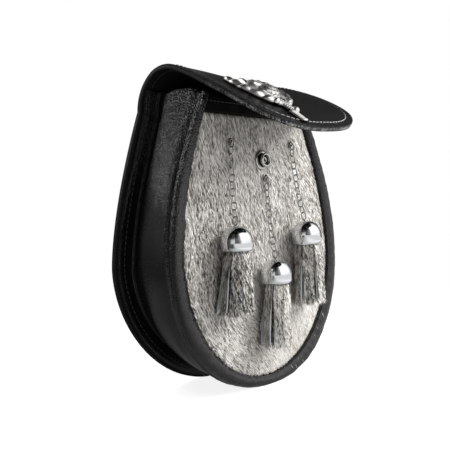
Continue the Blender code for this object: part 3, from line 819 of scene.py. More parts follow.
# the binding's leather: matt, and painted darker and less glossy than the rest, as the shade
# under the flap
BINDING = leather("shaded_matt_black_leather", (0.001, 0.001, 0.001), (0.003, 0.003, 0.003),
                  grain=1.0, depth=0.07, roughness=0.55, specular=0.1)
CUT = cut_leather("cut_edge", (0.005, 0.005, 0.005), (0.47, 0.47, 0.46))
CUT_DARK = cut_leather("dyed_edge", (0.004, 0.004, 0.004), (0.045, 0.046, 0.045))
LINING = flesh_side("flesh_side", (0.0015, 0.0015, 0.0015), (0.006, 0.006, 0.006))
FUR = hair_material("grey_hair", (
    (0.0, (0.030, 0.026, 0.022)), (0.25, (0.15, 0.137, 0.122)), (0.5, (0.56, 0.53, 0.485)),
    (1.0, (0.98, 0.96, 0.93))), roughness=0.55)
FUR_SKIN = skin_material("hide_under_hair", (0.16, 0.147, 0.132), (0.34, 0.315, 0.285))
STRIP_HAIR = hair_material("strip_hair", (
    (0.0, (0.024, 0.022, 0.019)), (0.3, (0.14, 0.130, 0.115)), (0.55, (0.56, 0.53, 0.485)),
    (1.0, (0.98, 0.96, 0.92))), roughness=0.6)
STRIP = flesh_side("tanned_strip", (0.32, 0.35, 0.345), (0.66, 0.71, 0.70))
CHROME = metal("chrome", (0.73, 0.74, 0.76), roughness=0.012, spread=0.05)
SILVER = metal("cast_silver", (0.78, 0.77, 0.75), roughness=0.26, spread=0.10,
               dark=(0.020, 0.018, 0.016), wear_and_light=0.25)
WIRE = metal("bright_wire", (0.34, 0.345, 0.34), roughness=0.14, spread=0.12)
TARNISHED = metal("tarnished_wire", (0.07, 0.068, 0.062), roughness=0.25, spread=0.15)
NICKEL = metal("dark_nickel", (0.46, 0.45, 0.43), roughness=0.12, spread=0.15,
               dark=(0.010, 0.010, 0.009), wear_and_light=0.15)
THREAD = thread_material("grey_thread", (0.03, 0.03, 0.03), (0.80, 0.80, 0.78))
THREAD_DARK = thread_material("black_thread", (0.012, 0.012, 0.012), (0.25, 0.25, 0.25))


# ---- leather pieces ---------------------------------------------------------------------
def stitch_shape():
    """Short bar of thread along y, for copies(), a little flat in z."""
    ends = np.array([(-0.5, 0.25), (-0.44, 0.75), (-0.3, 1.0), (0.0, 1.08), (0.3, 1.0),
                     (0.44, 0.75), (0.5, 0.25)])
    angle = round_angles(7)
    return loft(rows_of(THREAD_RADIUS * ends[:, 1:] * np.cos(angle),
                        ends[:, :1] * STITCH_LENGTH,
                        THREAD_RADIUS * THREAD_FLATNESS * ends[:, 1:] * np.sin(angle)))


def stitches(name, places, directions, normals, material, replaced):
    """Stitches of thread at places, lying along directions on a surface with these normals."""
    directions, normals = (np.broadcast_to(d, places.shape) for d in (directions, normals))
    across = square_to(directions, normals)
    lift = places + normals * (THREAD_RADIUS * 0.75 - THREAD_SINK)
    shape = copies(stitch_shape(), lift, across, directions, np.cross(across, directions))
    # where the thread gets its painted highlight, towards the flap's tip
    shape.values["tip"] = smooth_step(-shape.points[:, 1], *THREAD_TIP_LIGHT)
    add_piece(name, outward(shape), [material], replaced)


def hide_line(margin):
    """Closed line at this distance inside the hide's outline, as rows of x and along."""
    rows = hide_rows()
    line = np.vstack([rows, rows[::-1] * (-1.0, 1.0)])
    tangent = unit(np.roll(line, -1, axis=0) - np.roll(line, 1, axis=0))
    return line + rows_of(-tangent[:, 1], tangent[:, 0]) * margin


def make_hide():
    """The back, the bend and the flap, as one thick hide with its flesh side inside."""
    rows = hide_rows()
    half = rows[:, :1] - EDGE_BULGE / 2 * smooth_step(rows[:, :1], 0.0, 10.0)
    x = half * np.linspace(1.0, -1.0, HIDE_COLUMNS + 1)
    along = np.broadcast_to(rows[:, 1:], x.shape)
    normals = hide_normals(x, along)
    slack = smooth_step(along, 0.0, 50.0) * wander(rows_of(x, along), size=34.0, seed=3)
    outer = hide_points(x, along) + normals * (FLAP_SLACK * slack)[..., None]
    shape = wall(outer, outer - normals * HIDE, EDGE_ROWS)
    shape.points[:, 2] = np.maximum(shape.points[:, 2], GROUND)
    # where the cut edge gets its painted highlight, towards the flap's tip
    shape.values["tip"] = smooth_step(-shape.points[:, 1], *EDGE_TIP_LIGHT)
    add_piece("hide", shape, [LEATHER, CUT, LINING], ["back_and_flap"],
              wall_faces(shape))


def make_hide_stitches():
    """Thread all around the hide, and on its flesh side where the flap hangs free."""
    line = hide_line(STITCH_INSET)
    line = line[line[:, 1] > GROUND - BACK.top + STITCH_START]
    places, _ = resample(line, STITCH_PITCH, closed=True)
    x, along = places[:, 0], places[:, 1]
    surface = hide_points(x, along)
    normals = hide_normals(x, along)
    direction = unit(np.roll(surface, -1, axis=0) - np.roll(surface, 1, axis=0))
    direction = unit(direction - normals * np.sum(direction * normals, axis=1)[:, None])
    stitches("hide_stitches", surface, direction, normals, THREAD, ["back_and_flap"])
    free = along > FREE_START
    stitches("hide_stitches_inside", (surface - normals * HIDE)[free], direction[free],
             -normals[free], THREAD_DARK, ["back_and_flap"])


def gusset_grid(rows):
    """Visible face of the gusset: rows from the rim back to the flange."""
    grid = []
    for blend, y, low, high, top, follow in rows:
        half = outline(RIM, BACK, min(blend, 1.0), top)
        pillow = smooth_step(half[:, 1], PILLOW_START, PILLOW_FULL)
        line = both_sides(inset(half, lerp(low, high, pillow)))
        x, z = line[:, 0], line[:, 1]
        advance = GUSSET_ADVANCE * max(1.0 - blend / ADVANCE_BLEND, 0.0) * both_ends(pillow)
        depth = np.minimum(y, FLANGE_Y) - advance - follow * flange_depth(z)
        z = z + follow * tilt(x, z - BACK.top)
        grid.append(rows_of(x, depth, np.maximum(z, GROUND + GUSSET_CLEARANCE)))
    return np.array(grid)


def make_gusset():
    """Soft side wall with its flange."""
    rows = through(GUSSET_ROWS, SECTION_STEPS)
    grid = gusset_grid(rows)
    normals = grid_normals(grid)
    if np.sum(normals * (grid - INSIDE)) < 0.0:
        normals = -normals
    loose = smooth_step(rows[:, 1], 12.0, 20.0) * (1.0 - smooth_step(rows[:, 1], 38.0, 44.0))
    slow = wander(grid * (1.0, 1.4, 1.0), size=44.0, seed=11)
    folds = wander(grid * (1.0, 0.35, 1.0), size=15.0, seed=12)
    folds = folds * smooth_step(grid[..., 2], 70.0, 20.0)
    slack = loose[:, None] * (GUSSET_SLACK * slow + GUSSET_FOLDS * folds)
    grid = grid + normals * slack[..., None]
    inner = grid - normals * GUSSET_WALL
    for face in (grid, inner):
        face[..., 2] = np.maximum(face[..., 2], GROUND + GUSSET_CLEARANCE)
    shape = wall(grid, inner, SOFT_EDGE)
    add_piece("gusset_skin", shape, [GRAIN, CUT_DARK, LINING], ["gusset"],
              wall_faces(shape))


def make_flange_stitches():
    """Thread along the flange, on its side that faces forward."""
    line = edge_line(BACK, FLANGE_STITCH_TOP, STITCH_INSET + 0.4)
    places, _ = resample(line[line[:, 1] > GROUND + STITCH_START], STITCH_PITCH)
    x, z = places[:, 0], places[:, 1]
    surface = rows_of(x, FLANGE_Y - flange_depth(z), z + tilt(x, z - BACK.top))
    direction = unit(np.gradient(surface, axis=0))
    normals = square_to(direction, np.cross(FORWARD, direction))
    stitches("flange_stitches", surface, direction, normals, THREAD_DARK, ["gusset"])


def rim_rings(outer):
    """Sections of the roll, each a ring of points; at the top its rear part sinks away."""
    inner = edge_line(PANEL, ROLL_INNER_TOP, -GAP)
    section = through(RIM_SECTION, SECTION_STEPS, closed=True)
    rear = smooth_step(section[:, 1], 0.8, 2.8)
    slope = lerp(*HOLLOW, np.clip((section[:, 1] - 2.5) / 5.0, 0.0, 1.0))
    sunk = smooth_step(outer[:, 1], PILLOW_START + 10.0, PILLOW_FULL)[:, None]
    across = section[:, 0] - sunk * rear * np.maximum(section[:, 0] - slope, 0.0)
    xz = lerp(inner[:, None], outer[:, None], across[..., None])
    return rows_of(xz[..., 0], section[:, 1], xz[..., 1]), section


def make_rim():
    """Padded roll with a soft ridge along its rear edge, gathered where it meets the fur."""
    outer = edge_line(RIM, ROLL_OUTER_TOP)
    rings, section = rim_rings(outer)
    centre = rings.mean(axis=1, keepdims=True)
    away = unit(rings - centre)
    run = run_along(outer)
    from_end = np.minimum(run, run[-1] - run)
    pleats = speckle(rows_of(run, 0.0), PLEAT_WIDTH, seed=23) * smooth_step(from_end, 8.0, 40.0)
    pleats = pleats[:, None] * (1.0 - smooth_step(section[:, 0], 0.25, 0.7))
    crease = (wander(rings * (1.0, 0.4, 1.0), size=7.0, seed=21) * CREASE_DEPTH
              + wander(rings, size=26.0, seed=22) * SWELL_DEPTH)
    crease = crease * lerp(0.3, 1.0, smooth_step(from_end, 0.0, 45.0))[:, None]
    rings = rings + away * (crease + PLEAT_DEPTH * pleats)[..., None]
    to_end = np.clip(from_end / RIM_END, 0.0, 1.0)
    fullness = 0.85 + 0.15 * np.sqrt(1.0 - (1.0 - to_end) ** 2)
    rings = centre + (rings - centre) * fullness[:, None, None]
    rings[..., 2] = np.maximum(rings[..., 2], GROUND)
    rim = add_piece("padded_rim", outward(loft(rings)), [RIM_GRAIN],
                    ["rolled_rim"])


def binding_section():
    """Section of the binding as rows of y and z, from its front lower edge over the top."""
    front, rear = FRONT_Y[0] - GAP, FRONT_Y[1] + GAP
    outer_front, outer_rear = front - BINDING_LEATHER, rear + BINDING_LEATHER
    under = PANEL.top + GAP
    middle = (outer_front + outer_rear) / 2
    radius = (outer_rear - outer_front) / 2
    arc = [(middle - radius * math.cos(a), BINDING_TOP - radius + radius * math.sin(a))
           for a in np.linspace(0.0, math.pi, 11)]
    return np.array(
        [(outer_front + 0.25, BINDING_BOTTOM), (outer_front, BINDING_BOTTOM + 0.3)]
        + [(outer_front, z) for z in np.linspace(180.5, 188.0, 8)] + arc
        + [(outer_rear, z) for z in np.linspace(187.5, 181.0, 5)]
        + [(outer_rear, BINDING_INNER_BOTTOM), (rear, BINDING_INNER_BOTTOM), (rear, under),
           (front, under), (front, BINDING_BOTTOM)])


def make_binding():
    """Leather folded over the front's upper edge, with a line of stitches."""
    section = binding_section()
    outer_front = section[1, 0]
    half = upper_half(PANEL, section[:, 1]) - GAP
    share = np.linspace(-1.0, 1.0, BINDING_COLUMNS + 1)[:, None]
    rings = rows_of(share * half, section[:, 0], section[:, 1])
    front_side = rings[..., 1] < outer_front + 0.6
    slack = BINDING_SLACK * wander(rings[..., [0, 2]], size=16.0, seed=31)
    rings[..., 1] -= front_side * slack
    add_piece("binding_skin", outward(loft(rings)), [BINDING],
              ["top_binding"])
    reach = upper_half(PANEL, BINDING_STITCH_Z) - 2.0
    places = rows_of(np.arange(-reach, reach, STITCH_PITCH), outer_front, BINDING_STITCH_Z)
    stitches("binding_stitches", places, (1.0, 0.0, 0.0), FORWARD, THREAD_DARK,
             ["top_binding"])


def make_front_board():
    """Flat leather behind the fur, with a flesh side towards the inside of the bag."""
    front, rear = FRONT_Y
    rings, under = [], []
    for y, margin, inside in ((front, 0.5, 0.0), (front, 0.2, 0.0), (front + 0.2, 0.0, 0.0),
                              (rear - 0.2, 0.0, 0.0), (rear, 0.2, 1.0), (rear, 0.5, 1.0)):
        edge = edge_line(PANEL, PANEL.top, margin)
        rings.append(rows_of(edge[:, 0], y, edge[:, 1]))
        under.append([inside])
    shape = outward(loft(rings, under=under))
    add_piece("front_board", shape, [LEATHER, LINING], ["front_panel"],
              faces_with(shape, "under", 0.9))


# ---- hair -------------------------------------------------------------------------------
def hairs(roots, directions, normals, length, width, lift, shade, droop):
    """Tapered blades of hair; each lies along its direction and arches off the surface."""
    stations = np.array([0.0, 0.35, 0.7, 1.0])
    arch = np.array([0.0, 0.75, 1.0, droop])
    taper = np.array([0.8, 1.0, 0.65, 0.0])
    count = len(roots)
    normals = np.broadcast_to(normals, roots.shape)
    line = (roots[:, None] + directions[:, None] * (length[:, None] * stations)[..., None]
            + normals[:, None] * (lift[:, None] * arch)[..., None])
    side = square_to(directions, normals)
    half = (width[:, None] * taper * 0.5)[..., None]
    left, right = line - side[:, None] * half, line + side[:, None] * half
    points = np.concatenate([
        np.stack([left[:, :3], right[:, :3]], axis=2).reshape(count, 6, 3), line[:, 3:]], axis=1)
    size = points.shape[1]
    start = (np.arange(count) * size)[:, None]
    quads = np.concatenate([start + np.array([[0, 1, 3, 2]]), start + np.array([[2, 3, 5, 4]])])
    tris = start + np.array([[4, 5, 6]])
    values = {"shade": np.repeat(shade, size),
              "reach": np.tile(np.repeat(stations, (2, 2, 2, 1)), count)}
    return Shape(points.reshape(-1, 3), quads, tris, values)


def fur_height(edge_distance):
    """y of the skin under the hair, by the distance from the panel's edge."""
    return np.interp(edge_distance, (0.0, 1.5, 5.0, 16.0), (1.6, 1.0, 0.5, 0.2))


def fur_edge_distance(x, z, line):
    """Distance of each place from the nearest of every third point of a line."""
    far = np.full(len(x), np.inf)
    for px, pz in line[::3]:
        far = np.minimum(far, (x - px) ** 2 + (z - pz) ** 2)
    return np.sqrt(far)


def fur_flow(x, z):
    """Sideways lean of the hair: it falls, leaning right where the photo shows it."""
    lean = 0.15 + 0.75 * smooth_step(z, 78.0, 30.0) * smooth_step(x, 62.0, -15.0)
    lean += 0.25 * smooth_step(z, 110.0, 150.0) * smooth_step(x, -30.0, 30.0)
    lean += 0.20 * smooth_step(x, 36.0, 62.0)
    lean -= 0.15 * smooth_step(x, -25.0, -60.0) * smooth_step(z, 60.0, 100.0)
    places = rows_of(x, z * 0.6)
    return (lean + 0.18 * speckle(places, size=14.0, seed=41)
            + 0.26 * speckle(places, size=4.0, seed=42))


def fur_calm(x, z):
    """1 at the lower right, where the hair lies flat and even, and 0 elsewhere."""
    return smooth_step(z, 100.0, 55.0) * smooth_step(x, -30.0, 15.0)


def fur_shade(x, z, lean, random):
    """Brightness of each hair: locks along the lie of the hair, broad patches, odd hairs, and
    painted light and shade by place.
    """
    across = x + z * 0.2
    locks = speckle(rows_of(across, z * 0.24 + lean * 2.0), size=0.8, seed=43)
    wide = speckle(rows_of(across, z * 0.35), size=2.6, seed=45)
    patches = speckle(rows_of(x, z * 0.6), size=17.0, seed=44)
    calm = 1.0 - 0.45 * fur_calm(x, z)
    shade = 0.59 + calm * (0.17 * locks + random.normal(0.0, 0.26, len(x)))
    shade += 0.06 * wide + 0.06 * patches
    # painted light and shade: the lower hair is lighter and the hair at the left darker, as the
    # light falls on the front
    shade += 0.10 * smooth_step(z, 90.0, 40.0) - 0.05 * smooth_step(x, -20.0, -60.0)
    dark = random.random(len(x)) < 0.06
    return np.clip(np.where(dark, shade * 0.4, shade), 0.02, 1.0)


def stray_hairs(edge):
    """A few long hairs that lie out across the roll at the lower right."""
    random = np.random.default_rng(STRAY_SEED)
    right = edge[(edge[:, 0] > 15.0) & (edge[:, 1] < 55.0)]
    at = right[random.integers(0, len(right), STRAYS)]
    out = unit(at - (0.0, PANEL.widest))
    base = at + out * random.uniform(0.8, 2.2, (STRAYS, 1))
    way = unit(rows_of(out[:, 0] + random.uniform(-0.5, 0.5, STRAYS),
                       random.uniform(-0.16, -0.04, STRAYS),
                       out[:, 1] + random.uniform(-0.5, 0.5, STRAYS)))
    return hairs(rows_of(base[:, 0], STRAY_ROOT_Y, base[:, 1]), way, FORWARD,
                 length=random.uniform(3.0, 7.0, STRAYS),
                 width=random.uniform(0.10, 0.17, STRAYS),
                 lift=random.uniform(0.2, 0.5, STRAYS),
                 shade=random.uniform(0.35, 0.75, STRAYS), droop=-0.4)


def make_fur_skin(edge):
    """Skin of the front, in rings from its edge to its middle."""
    middle = np.array([0.0, PANEL.widest])
    rings = [rows_of(edge[:, 0], FUR_BACK_Y, edge[:, 1])]
    for scale in (1.0, 0.99, 0.975, 0.95, 0.9, 0.8, 0.65, 0.45, 0.2):
        line = middle + (edge - middle) * scale
        rings.append(rows_of(line[:, 0], fur_height((1.0 - scale) * FUR_FILL), line[:, 1]))
    add_piece("fur_skin", outward(loft(rings)), [FUR_SKIN], ["fur_panel"])


def fur_hairs(half, edge, layer, random):
    """Hairs all over the front but for the stud's place; layer is 0 for the lowest, 1 on top."""
    x = random.uniform(-PANEL.half, PANEL.half, FUR_HAIRS * 2)
    z = random.uniform(PANEL.bottom, FUR_TOP, FUR_HAIRS * 2)
    inside = np.abs(x) < np.interp(z, half[:, 1], half[:, 0]) - ROOT_MARGIN
    inside &= np.hypot(x - STUD_X, z - STUD_Z - 2.0) > STUD_RADIUS + ROOT_MARGIN
    x, z = x[inside][:FUR_HAIRS], z[inside][:FUR_HAIRS]
    near = fur_edge_distance(x, z, edge)
    flow = fur_flow(x, z)
    lean = flow + random.normal(0.0, 0.07, len(x))
    short = smooth_step(near, 0.0, 3.5)
    length = random.uniform(*FUR_LENGTH, len(x)) * lerp(0.55, 1.0, short)
    down = unit(rows_of(lean, 0.0, -1.0))
    roots = rows_of(x, fur_height(near), z)
    tips = roots + down * length[:, None]
    limit = np.interp(tips[:, 2], half[:, 1], half[:, 0], left=0.0) + TIP_OVERHANG
    outside = (np.abs(tips[:, 0]) > limit) | (tips[:, 2] < PANEL.bottom)
    at_stud = np.hypot(tips[:, 0] - STUD_X, tips[:, 2] - STUD_Z) < STUD_RADIUS
    for over in (outside, at_stud):
        length *= np.where(over, FUR_CUT, 1.0)
    lift = random.uniform(*FUR_LIFT, len(x)) * lerp(0.8, 1.25, layer) * lerp(0.6, 1.0, short)
    lift *= 1.0 - 0.6 * fur_calm(x, z)
    return hairs(roots, down, FORWARD, length, width=random.uniform(*FUR_WIDTH, len(x)),
                 lift=lift, shade=fur_shade(x, z, flow, random), droop=0.7)


def make_fur():
    """Skin and hair of the front panel."""
    half = inset(outline(PANEL, PANEL, 0.0, FUR_TOP), GAP / 2)
    edge = both_sides(half)
    make_fur_skin(edge)
    for piece in range(FUR_PIECES):
        random = np.random.default_rng(FUR_SEED + piece)
        shape = fur_hairs(half, edge, piece / (FUR_PIECES - 1), random)
        if piece == FUR_PIECES - 1:
            shape = merge([shape, stray_hairs(edge)])
        add_piece("fur_hair_" + "abc"[piece], shape, [FUR], ["fur_panel"])


# ---- chains, caps and tassels -----------------------------------------------------------
def hang(drop, points):
    """Points of a cap's own frame, turned by its tilt and put at its lower edge."""
    lean = math.radians(drop.tilt)
    turn = np.array([[math.cos(lean), 0.0, math.sin(lean)], [0.0, 1.0, 0.0],
                     [-math.sin(lean), 0.0, math.cos(lean)]])
    return np.array(points) @ turn + (drop.cap_x, CAP_Y, drop.cap_z)


def chain_route(drop):
    """Middle of the chain from the hide to the top of its cap, as in the CAD links."""
    start = np.array([drop.anchor_x, FUR_CROWN_Y - GAP - CHAIN_WIDTH / 2, drop.anchor_z])
    end = hang(drop, (0.0, 0.0, CAP_HEIGHT + GAP + CHAIN_OVERHANG))
    t = np.linspace(0.0, 1.0, 120)[:, None]
    route = lerp(start, end, t)
    route[:, 1] = lerp(start[1], end[1], t[:, 0] ** 1.6)
    return route


def link_shape(length, width, wire):
    """Oval ring of wire in the xy plane, long along y."""
    angle, around = round_angles(LINK_STEPS), round_angles(LINK_SIDES)
    wide_half = width / 2 - wire
    straight = length / 2 - wire - wide_half
    end = np.sign(np.sin(angle)) * (np.abs(np.sin(angle)) > 0.02)
    centre = rows_of(wide_half * np.cos(angle), wide_half * np.sin(angle) + straight * end, 0.0)
    out = rows_of(np.cos(angle), np.sin(angle), 0.0)
    points = (centre[:, None] + out[:, None] * (wire * np.cos(around))[None, :, None]
              + np.array([0.0, 0.0, 1.0]) * (wire * np.sin(around))[None, :, None])
    return Shape(points.reshape(-1, 3),
                 grid_quads(LINK_STEPS, LINK_SIDES, wrap_rows=True, wrap_columns=True),
                 NO_TRIS, {})


def make_chain(drop, seed):
    """Oval links, each turned a quarter from the last, with dark loops of wire at the top."""
    places, along = resample(chain_route(drop), LINK_PITCH)
    count = len(places)
    side = square_to(along, FORWARD)
    up = np.cross(side, along)
    random = np.random.default_rng(seed)
    turn = np.where(np.arange(count) % 2 == 0, 0.0, math.pi / 2)
    turn = (turn + random.normal(0.0, 0.2, count))[:, None]
    across = side * np.cos(turn) + up * np.sin(turn)
    links = copies(link_shape(LINK_PITCH + 4.0 * LINK_WIRE, LINK_WIDTH, LINK_WIRE), places,
                   across, along, np.cross(across, along))
    tilt_x, tilt_z = random.uniform(-0.9, 0.9, (2, len(EYES)))
    across = unit(rows_of(1.0, 0.3 * tilt_x, tilt_z))
    out = unit(rows_of(0.4 * tilt_x, -1.0, 0.2 * tilt_z))
    long = square_to(out, across)
    eyes = copies(link_shape(EYE_LENGTH, EYE_WIDTH, EYE_WIRE), places[:1] + np.array(EYES),
                  np.cross(long, out), long, out)
    pick = np.repeat([0, 1], [len(links.quads), len(eyes.quads)])
    add_piece("links_" + drop.name, outward(merge([links, eyes])), [WIRE, TARNISHED],
              ["chain_" + drop.name], pick)


def cap_profile(radius, height):
    """Rows of radius and height of a dome that draws in at its mouth."""
    shoulder = height - radius * 0.98
    rows = [(radius - share * CAP_LIP, z) for share, z in (
        (1.0, 0.0), (0.78, 0.12), (0.5, 0.5), (0.25, 1.05), (0.07, 1.75), (0.0, 2.5),
        (0.0, shoulder))]
    for angle in np.radians(np.linspace(6.0, 88.0, 22)):
        rows.append((radius * math.cos(angle),
                     shoulder + (height - shoulder) * math.sin(angle)))
    return rows


def make_cap(drop):
    """Spun dome that draws in at its mouth, with a small eye on top for the chain."""
    outer = cap_profile(CAP_RADIUS, CAP_HEIGHT)
    inner = cap_profile(CAP_RADIUS - CAP_WALL, CAP_HEIGHT - CAP_WALL)
    shell = turned(outer[::-1] + [(CAP_RADIUS - CAP_LIP - 0.4, -0.12)] + inner, sides=96)
    knob = turned([(radius, CAP_HEIGHT + rise) for radius, rise in (
        (1.5, -0.6), (1.5, 0.1), (1.1, 0.3), (0.5, 0.4))], sides=20)
    shape = merge([outward(shell), outward(knob)])
    shape = shape._replace(points=hang(drop, shape.points))
    add_piece("dome_" + drop.name, shape, [CHROME], ["cap_" + drop.name])


def strip_route(drop, angle, radius, random):
    """Middle line of one hide strip, from inside the cap to its lower end."""
    out = np.array([math.cos(angle), math.sin(angle), 0.0])
    end = drop.length * random.uniform(0.95, 1.0)
    flare = drop.spread * radius / SPREAD_RADIUS
    neck = radius * STRIP_NECK
    below = np.linspace(-5.0, end, 17)
    share = np.clip(below, 0.0, None) / drop.length
    reach = neck + (flare - neck) * share ** 0.7
    reach = reach + 0.4 * np.sin(share * 5.0 + random.uniform(0.0, TURN)) * share
    sway = random.normal(0.0, 0.5) * share ** 2
    tilted = np.sin(math.radians(drop.tilt)) * np.minimum(below, 0.0)
    return rows_of(drop.cap_x + tilted + drop.lean * share + out[0] * reach - out[1] * sway,
                   CAP_Y + 0.8 * share + out[1] * reach * TASSEL_DEPTH + out[0] * sway,
                   drop.cap_z - below), out


Strip = namedtuple("Strip", "shape route tangent side face width thick")
# across and over a strip's middle line, by half its width and half its thickness
STRIP_SECTION = np.array([
    (-1, 0.2), (-0.97, 0.8), (-0.9, 1), (-0.5, 1.15), (0, 1.2), (0.5, 1.15), (0.9, 1),
    (0.97, 0.8), (1, 0.2), (1, -0.7), (0.94, -1), (0, -0.8), (-0.94, -1), (-1, -0.7)])


def make_strip(drop, number, random):
    """One hide strip with a rounded section, and the frame of its hair side."""
    outside = number < STRIPS_OUTSIDE
    count = STRIPS_OUTSIDE if outside else STRIPS_INSIDE
    angle = TURN * (number + 0.35 + random.uniform(-0.18, 0.18)) / count
    route, out = strip_route(drop, angle, RING_OUTSIDE if outside else RING_INSIDE, random)
    tangent = unit(np.gradient(route, axis=0))
    side = square_to(tangent, out)
    face = square_to(side, tangent)
    if face[0] @ out < 0.0:
        side, face = -side, -face
    share = np.linspace(0.0, 1.0, len(route))[:, None]
    spin = SHINGLE * smooth_step(share, 0.15, 0.55) + random.normal(0.0, 0.14) * share
    side, face = (side * np.cos(spin) + face * np.sin(spin),
                  face * np.cos(spin) - side * np.sin(spin))
    girth = TURN * RING_OUTSIDE / STRIPS_OUTSIDE
    width = girth * random.uniform(0.86, 0.98) * np.linspace(0.76, 1.10, len(route))
    thick = random.uniform(0.9, 1.2)
    across, over = STRIP_SECTION.T
    rings = (route[:, None] + side[:, None] * (across * width[:, None] / 2)[..., None]
             + face[:, None] * (over * thick / 2)[None, :, None])
    return Strip(outward(loft(rings)), route, tangent, side, face, width, thick)


def strip_hairs(drop, strip, number, random, seed):
    """Hair on one strip's outer face, in locks, with painted shade that makes it darker on the
    inner strips.
    """
    outside = number < STRIPS_OUTSIDE
    count = STRIP_HAIRS if outside else STRIP_HAIRS // 4
    stations = len(strip.route) - 1
    t = random.uniform(0.12, 0.985, count) * stations
    low = t.astype(int)
    covered = lerp(1.15, 0.90, smooth_step(t / stations, 0.40, 0.65))
    across = random.uniform(-1.0, 1.0, count) * covered
    half = strip.width[low] / 2
    root = lerp(strip.route[low], strip.route[low + 1], (t - low)[:, None])
    root += strip.side[low] * (across * half)[:, None]
    root += strip.face[low] * (strip.thick * 0.55)
    lean = STRIP_LEAN + 0.12 * across + random.normal(0.0, 0.16, count)
    direction = unit(strip.tangent[low] + strip.side[low] * lean[:, None])
    length = random.uniform(*STRIP_LENGTH, count)
    over = np.abs(across + lean * length / half) > covered + 0.2
    length = np.where(over, length * 0.5, length)
    length = np.minimum(length, np.maximum(root[:, 2] - drop.cap_z + drop.length + 1.6, 0.8))
    place = rows_of(across * 3.4 + t * 0.3 + number * 17.0, t * 2.4)
    shade = TASSEL_TONE[drop.name] + 0.36 * speckle(place * (1.0, 0.25), size=0.9, seed=seed)
    # painted shade: the inner strips' hair is darker, as they hang in the shade of the outer
    # strips
    shade -= 0.0 if outside else 0.35
    shade = np.clip(shade + random.normal(0.0, 0.28, count), 0.02, 1.0)
    return hairs(root, direction, strip.face[low], length,
                 width=random.uniform(*STRIP_WIDTH, count),
                 lift=random.uniform(*STRIP_LIFT, count), shade=shade, droop=0.8)


def make_tassel(drop, seed):
    """Hide strips with their hair outside, hanging from the cap."""
    random = np.random.default_rng(seed)
    strips, locks = [], []
    for number in range(STRIPS_OUTSIDE + STRIPS_INSIDE):
        strip = make_strip(drop, number, random)
        strips.append(strip.shape)
        locks.append(strip_hairs(drop, strip, number, random, seed + 1))
    node = "tassel_" + drop.name
    add_piece("strips_" + drop.name, merge(strips), [STRIP], [node])
    add_piece("strip_hair_" + drop.name, merge(locks), [STRIP_HAIR], [node])


# ---- fastener ---------------------------------------------------------------------------
# rows of radius and height
STUD_PROFILE = (
    (0.3, 0.0), (6.4, 0.0), (6.45, 0.25), (6.3, 0.6), (5.8, 0.9), (5.0, 0.85), (4.6, 1.0),
    (4.3, 1.4), (4.3, 2.4), (4.45, 3.0), (4.65, 3.3), (4.7, 3.8), (4.5, 4.25), (4.1, 4.5),
    (3.7, 4.5), (3.3, 4.25), (3.1, 3.8), (2.9, 2.3), (2.6, 2.0), (2.3, 2.1), (2.1, 2.7),
    (1.8, 3.0), (1.3, 3.0), (1.0, 2.7), (0.8, 2.2), (0.05, 2.1),
)
SOCKET_PROFILE = (
    (0.3, 0.0), (6.3, 0.0), (6.4, 0.3), (6.2, 0.7), (5.6, 1.0), (5.45, 1.3), (5.4, 2.1),
    (5.2, 2.6), (4.8, 2.75), (4.4, 2.7), (4.1, 2.4), (4.0, 1.3), (3.6, 1.1), (0.05, 1.0),
)


def placed(shape, origin, *axes):
    """The shape moved to an origin, with its x, y and z along these axes."""
    return copies(shape, *(np.array([row], float) for row in (origin, *axes)))


def make_snap():
    """Stud on the fur, and its plain socket under the flap."""
    hollow = [(3.2 < radius < 4.65 and 0.95 < height < 2.6) or (radius < 3.0 and height < 2.4)
              for radius, height in STUD_PROFILE]
    stud = placed(turned(STUD_PROFILE, sides=64, recess=hollow),
                  (STUD_X, FUR_CROWN_Y - GAP, STUD_Z), (1, 0, 0), (0, 0, 1), FORWARD)
    add_piece("stud", outward(stud), [NICKEL], ["snap_stud"])
    x, along = np.array([SOCKET_X]), np.array([SOCKET_ALONG])
    normal = hide_normals(x, along)[0]
    base = hide_points(x, along)[0] - normal * (HIDE + GAP * 0.4)
    forward = unit(hide_points(x, along + 1.0) - hide_points(x, along - 1.0))[0]
    socket = placed(turned(SOCKET_PROFILE, sides=48, recess=np.zeros(len(SOCKET_PROFILE))),
                    base, np.cross(forward, -normal), forward, -normal)
    add_piece("socket", outward(socket), [NICKEL], ["snap_socket"])


# ---- badge ------------------------------------------------------------------------------
def on_flap(u, v, height):
    """Points at height over the flap; u is across the badge and v down it."""
    u, v, height = np.broadcast_arrays(*(np.asarray(a, float) for a in (u, v, height)))
    x = BADGE_X + BADGE_LEAN * v + u
    along = BADGE_START + v
    return hide_points(x, along) + hide_normals(x, along) * height[..., None]


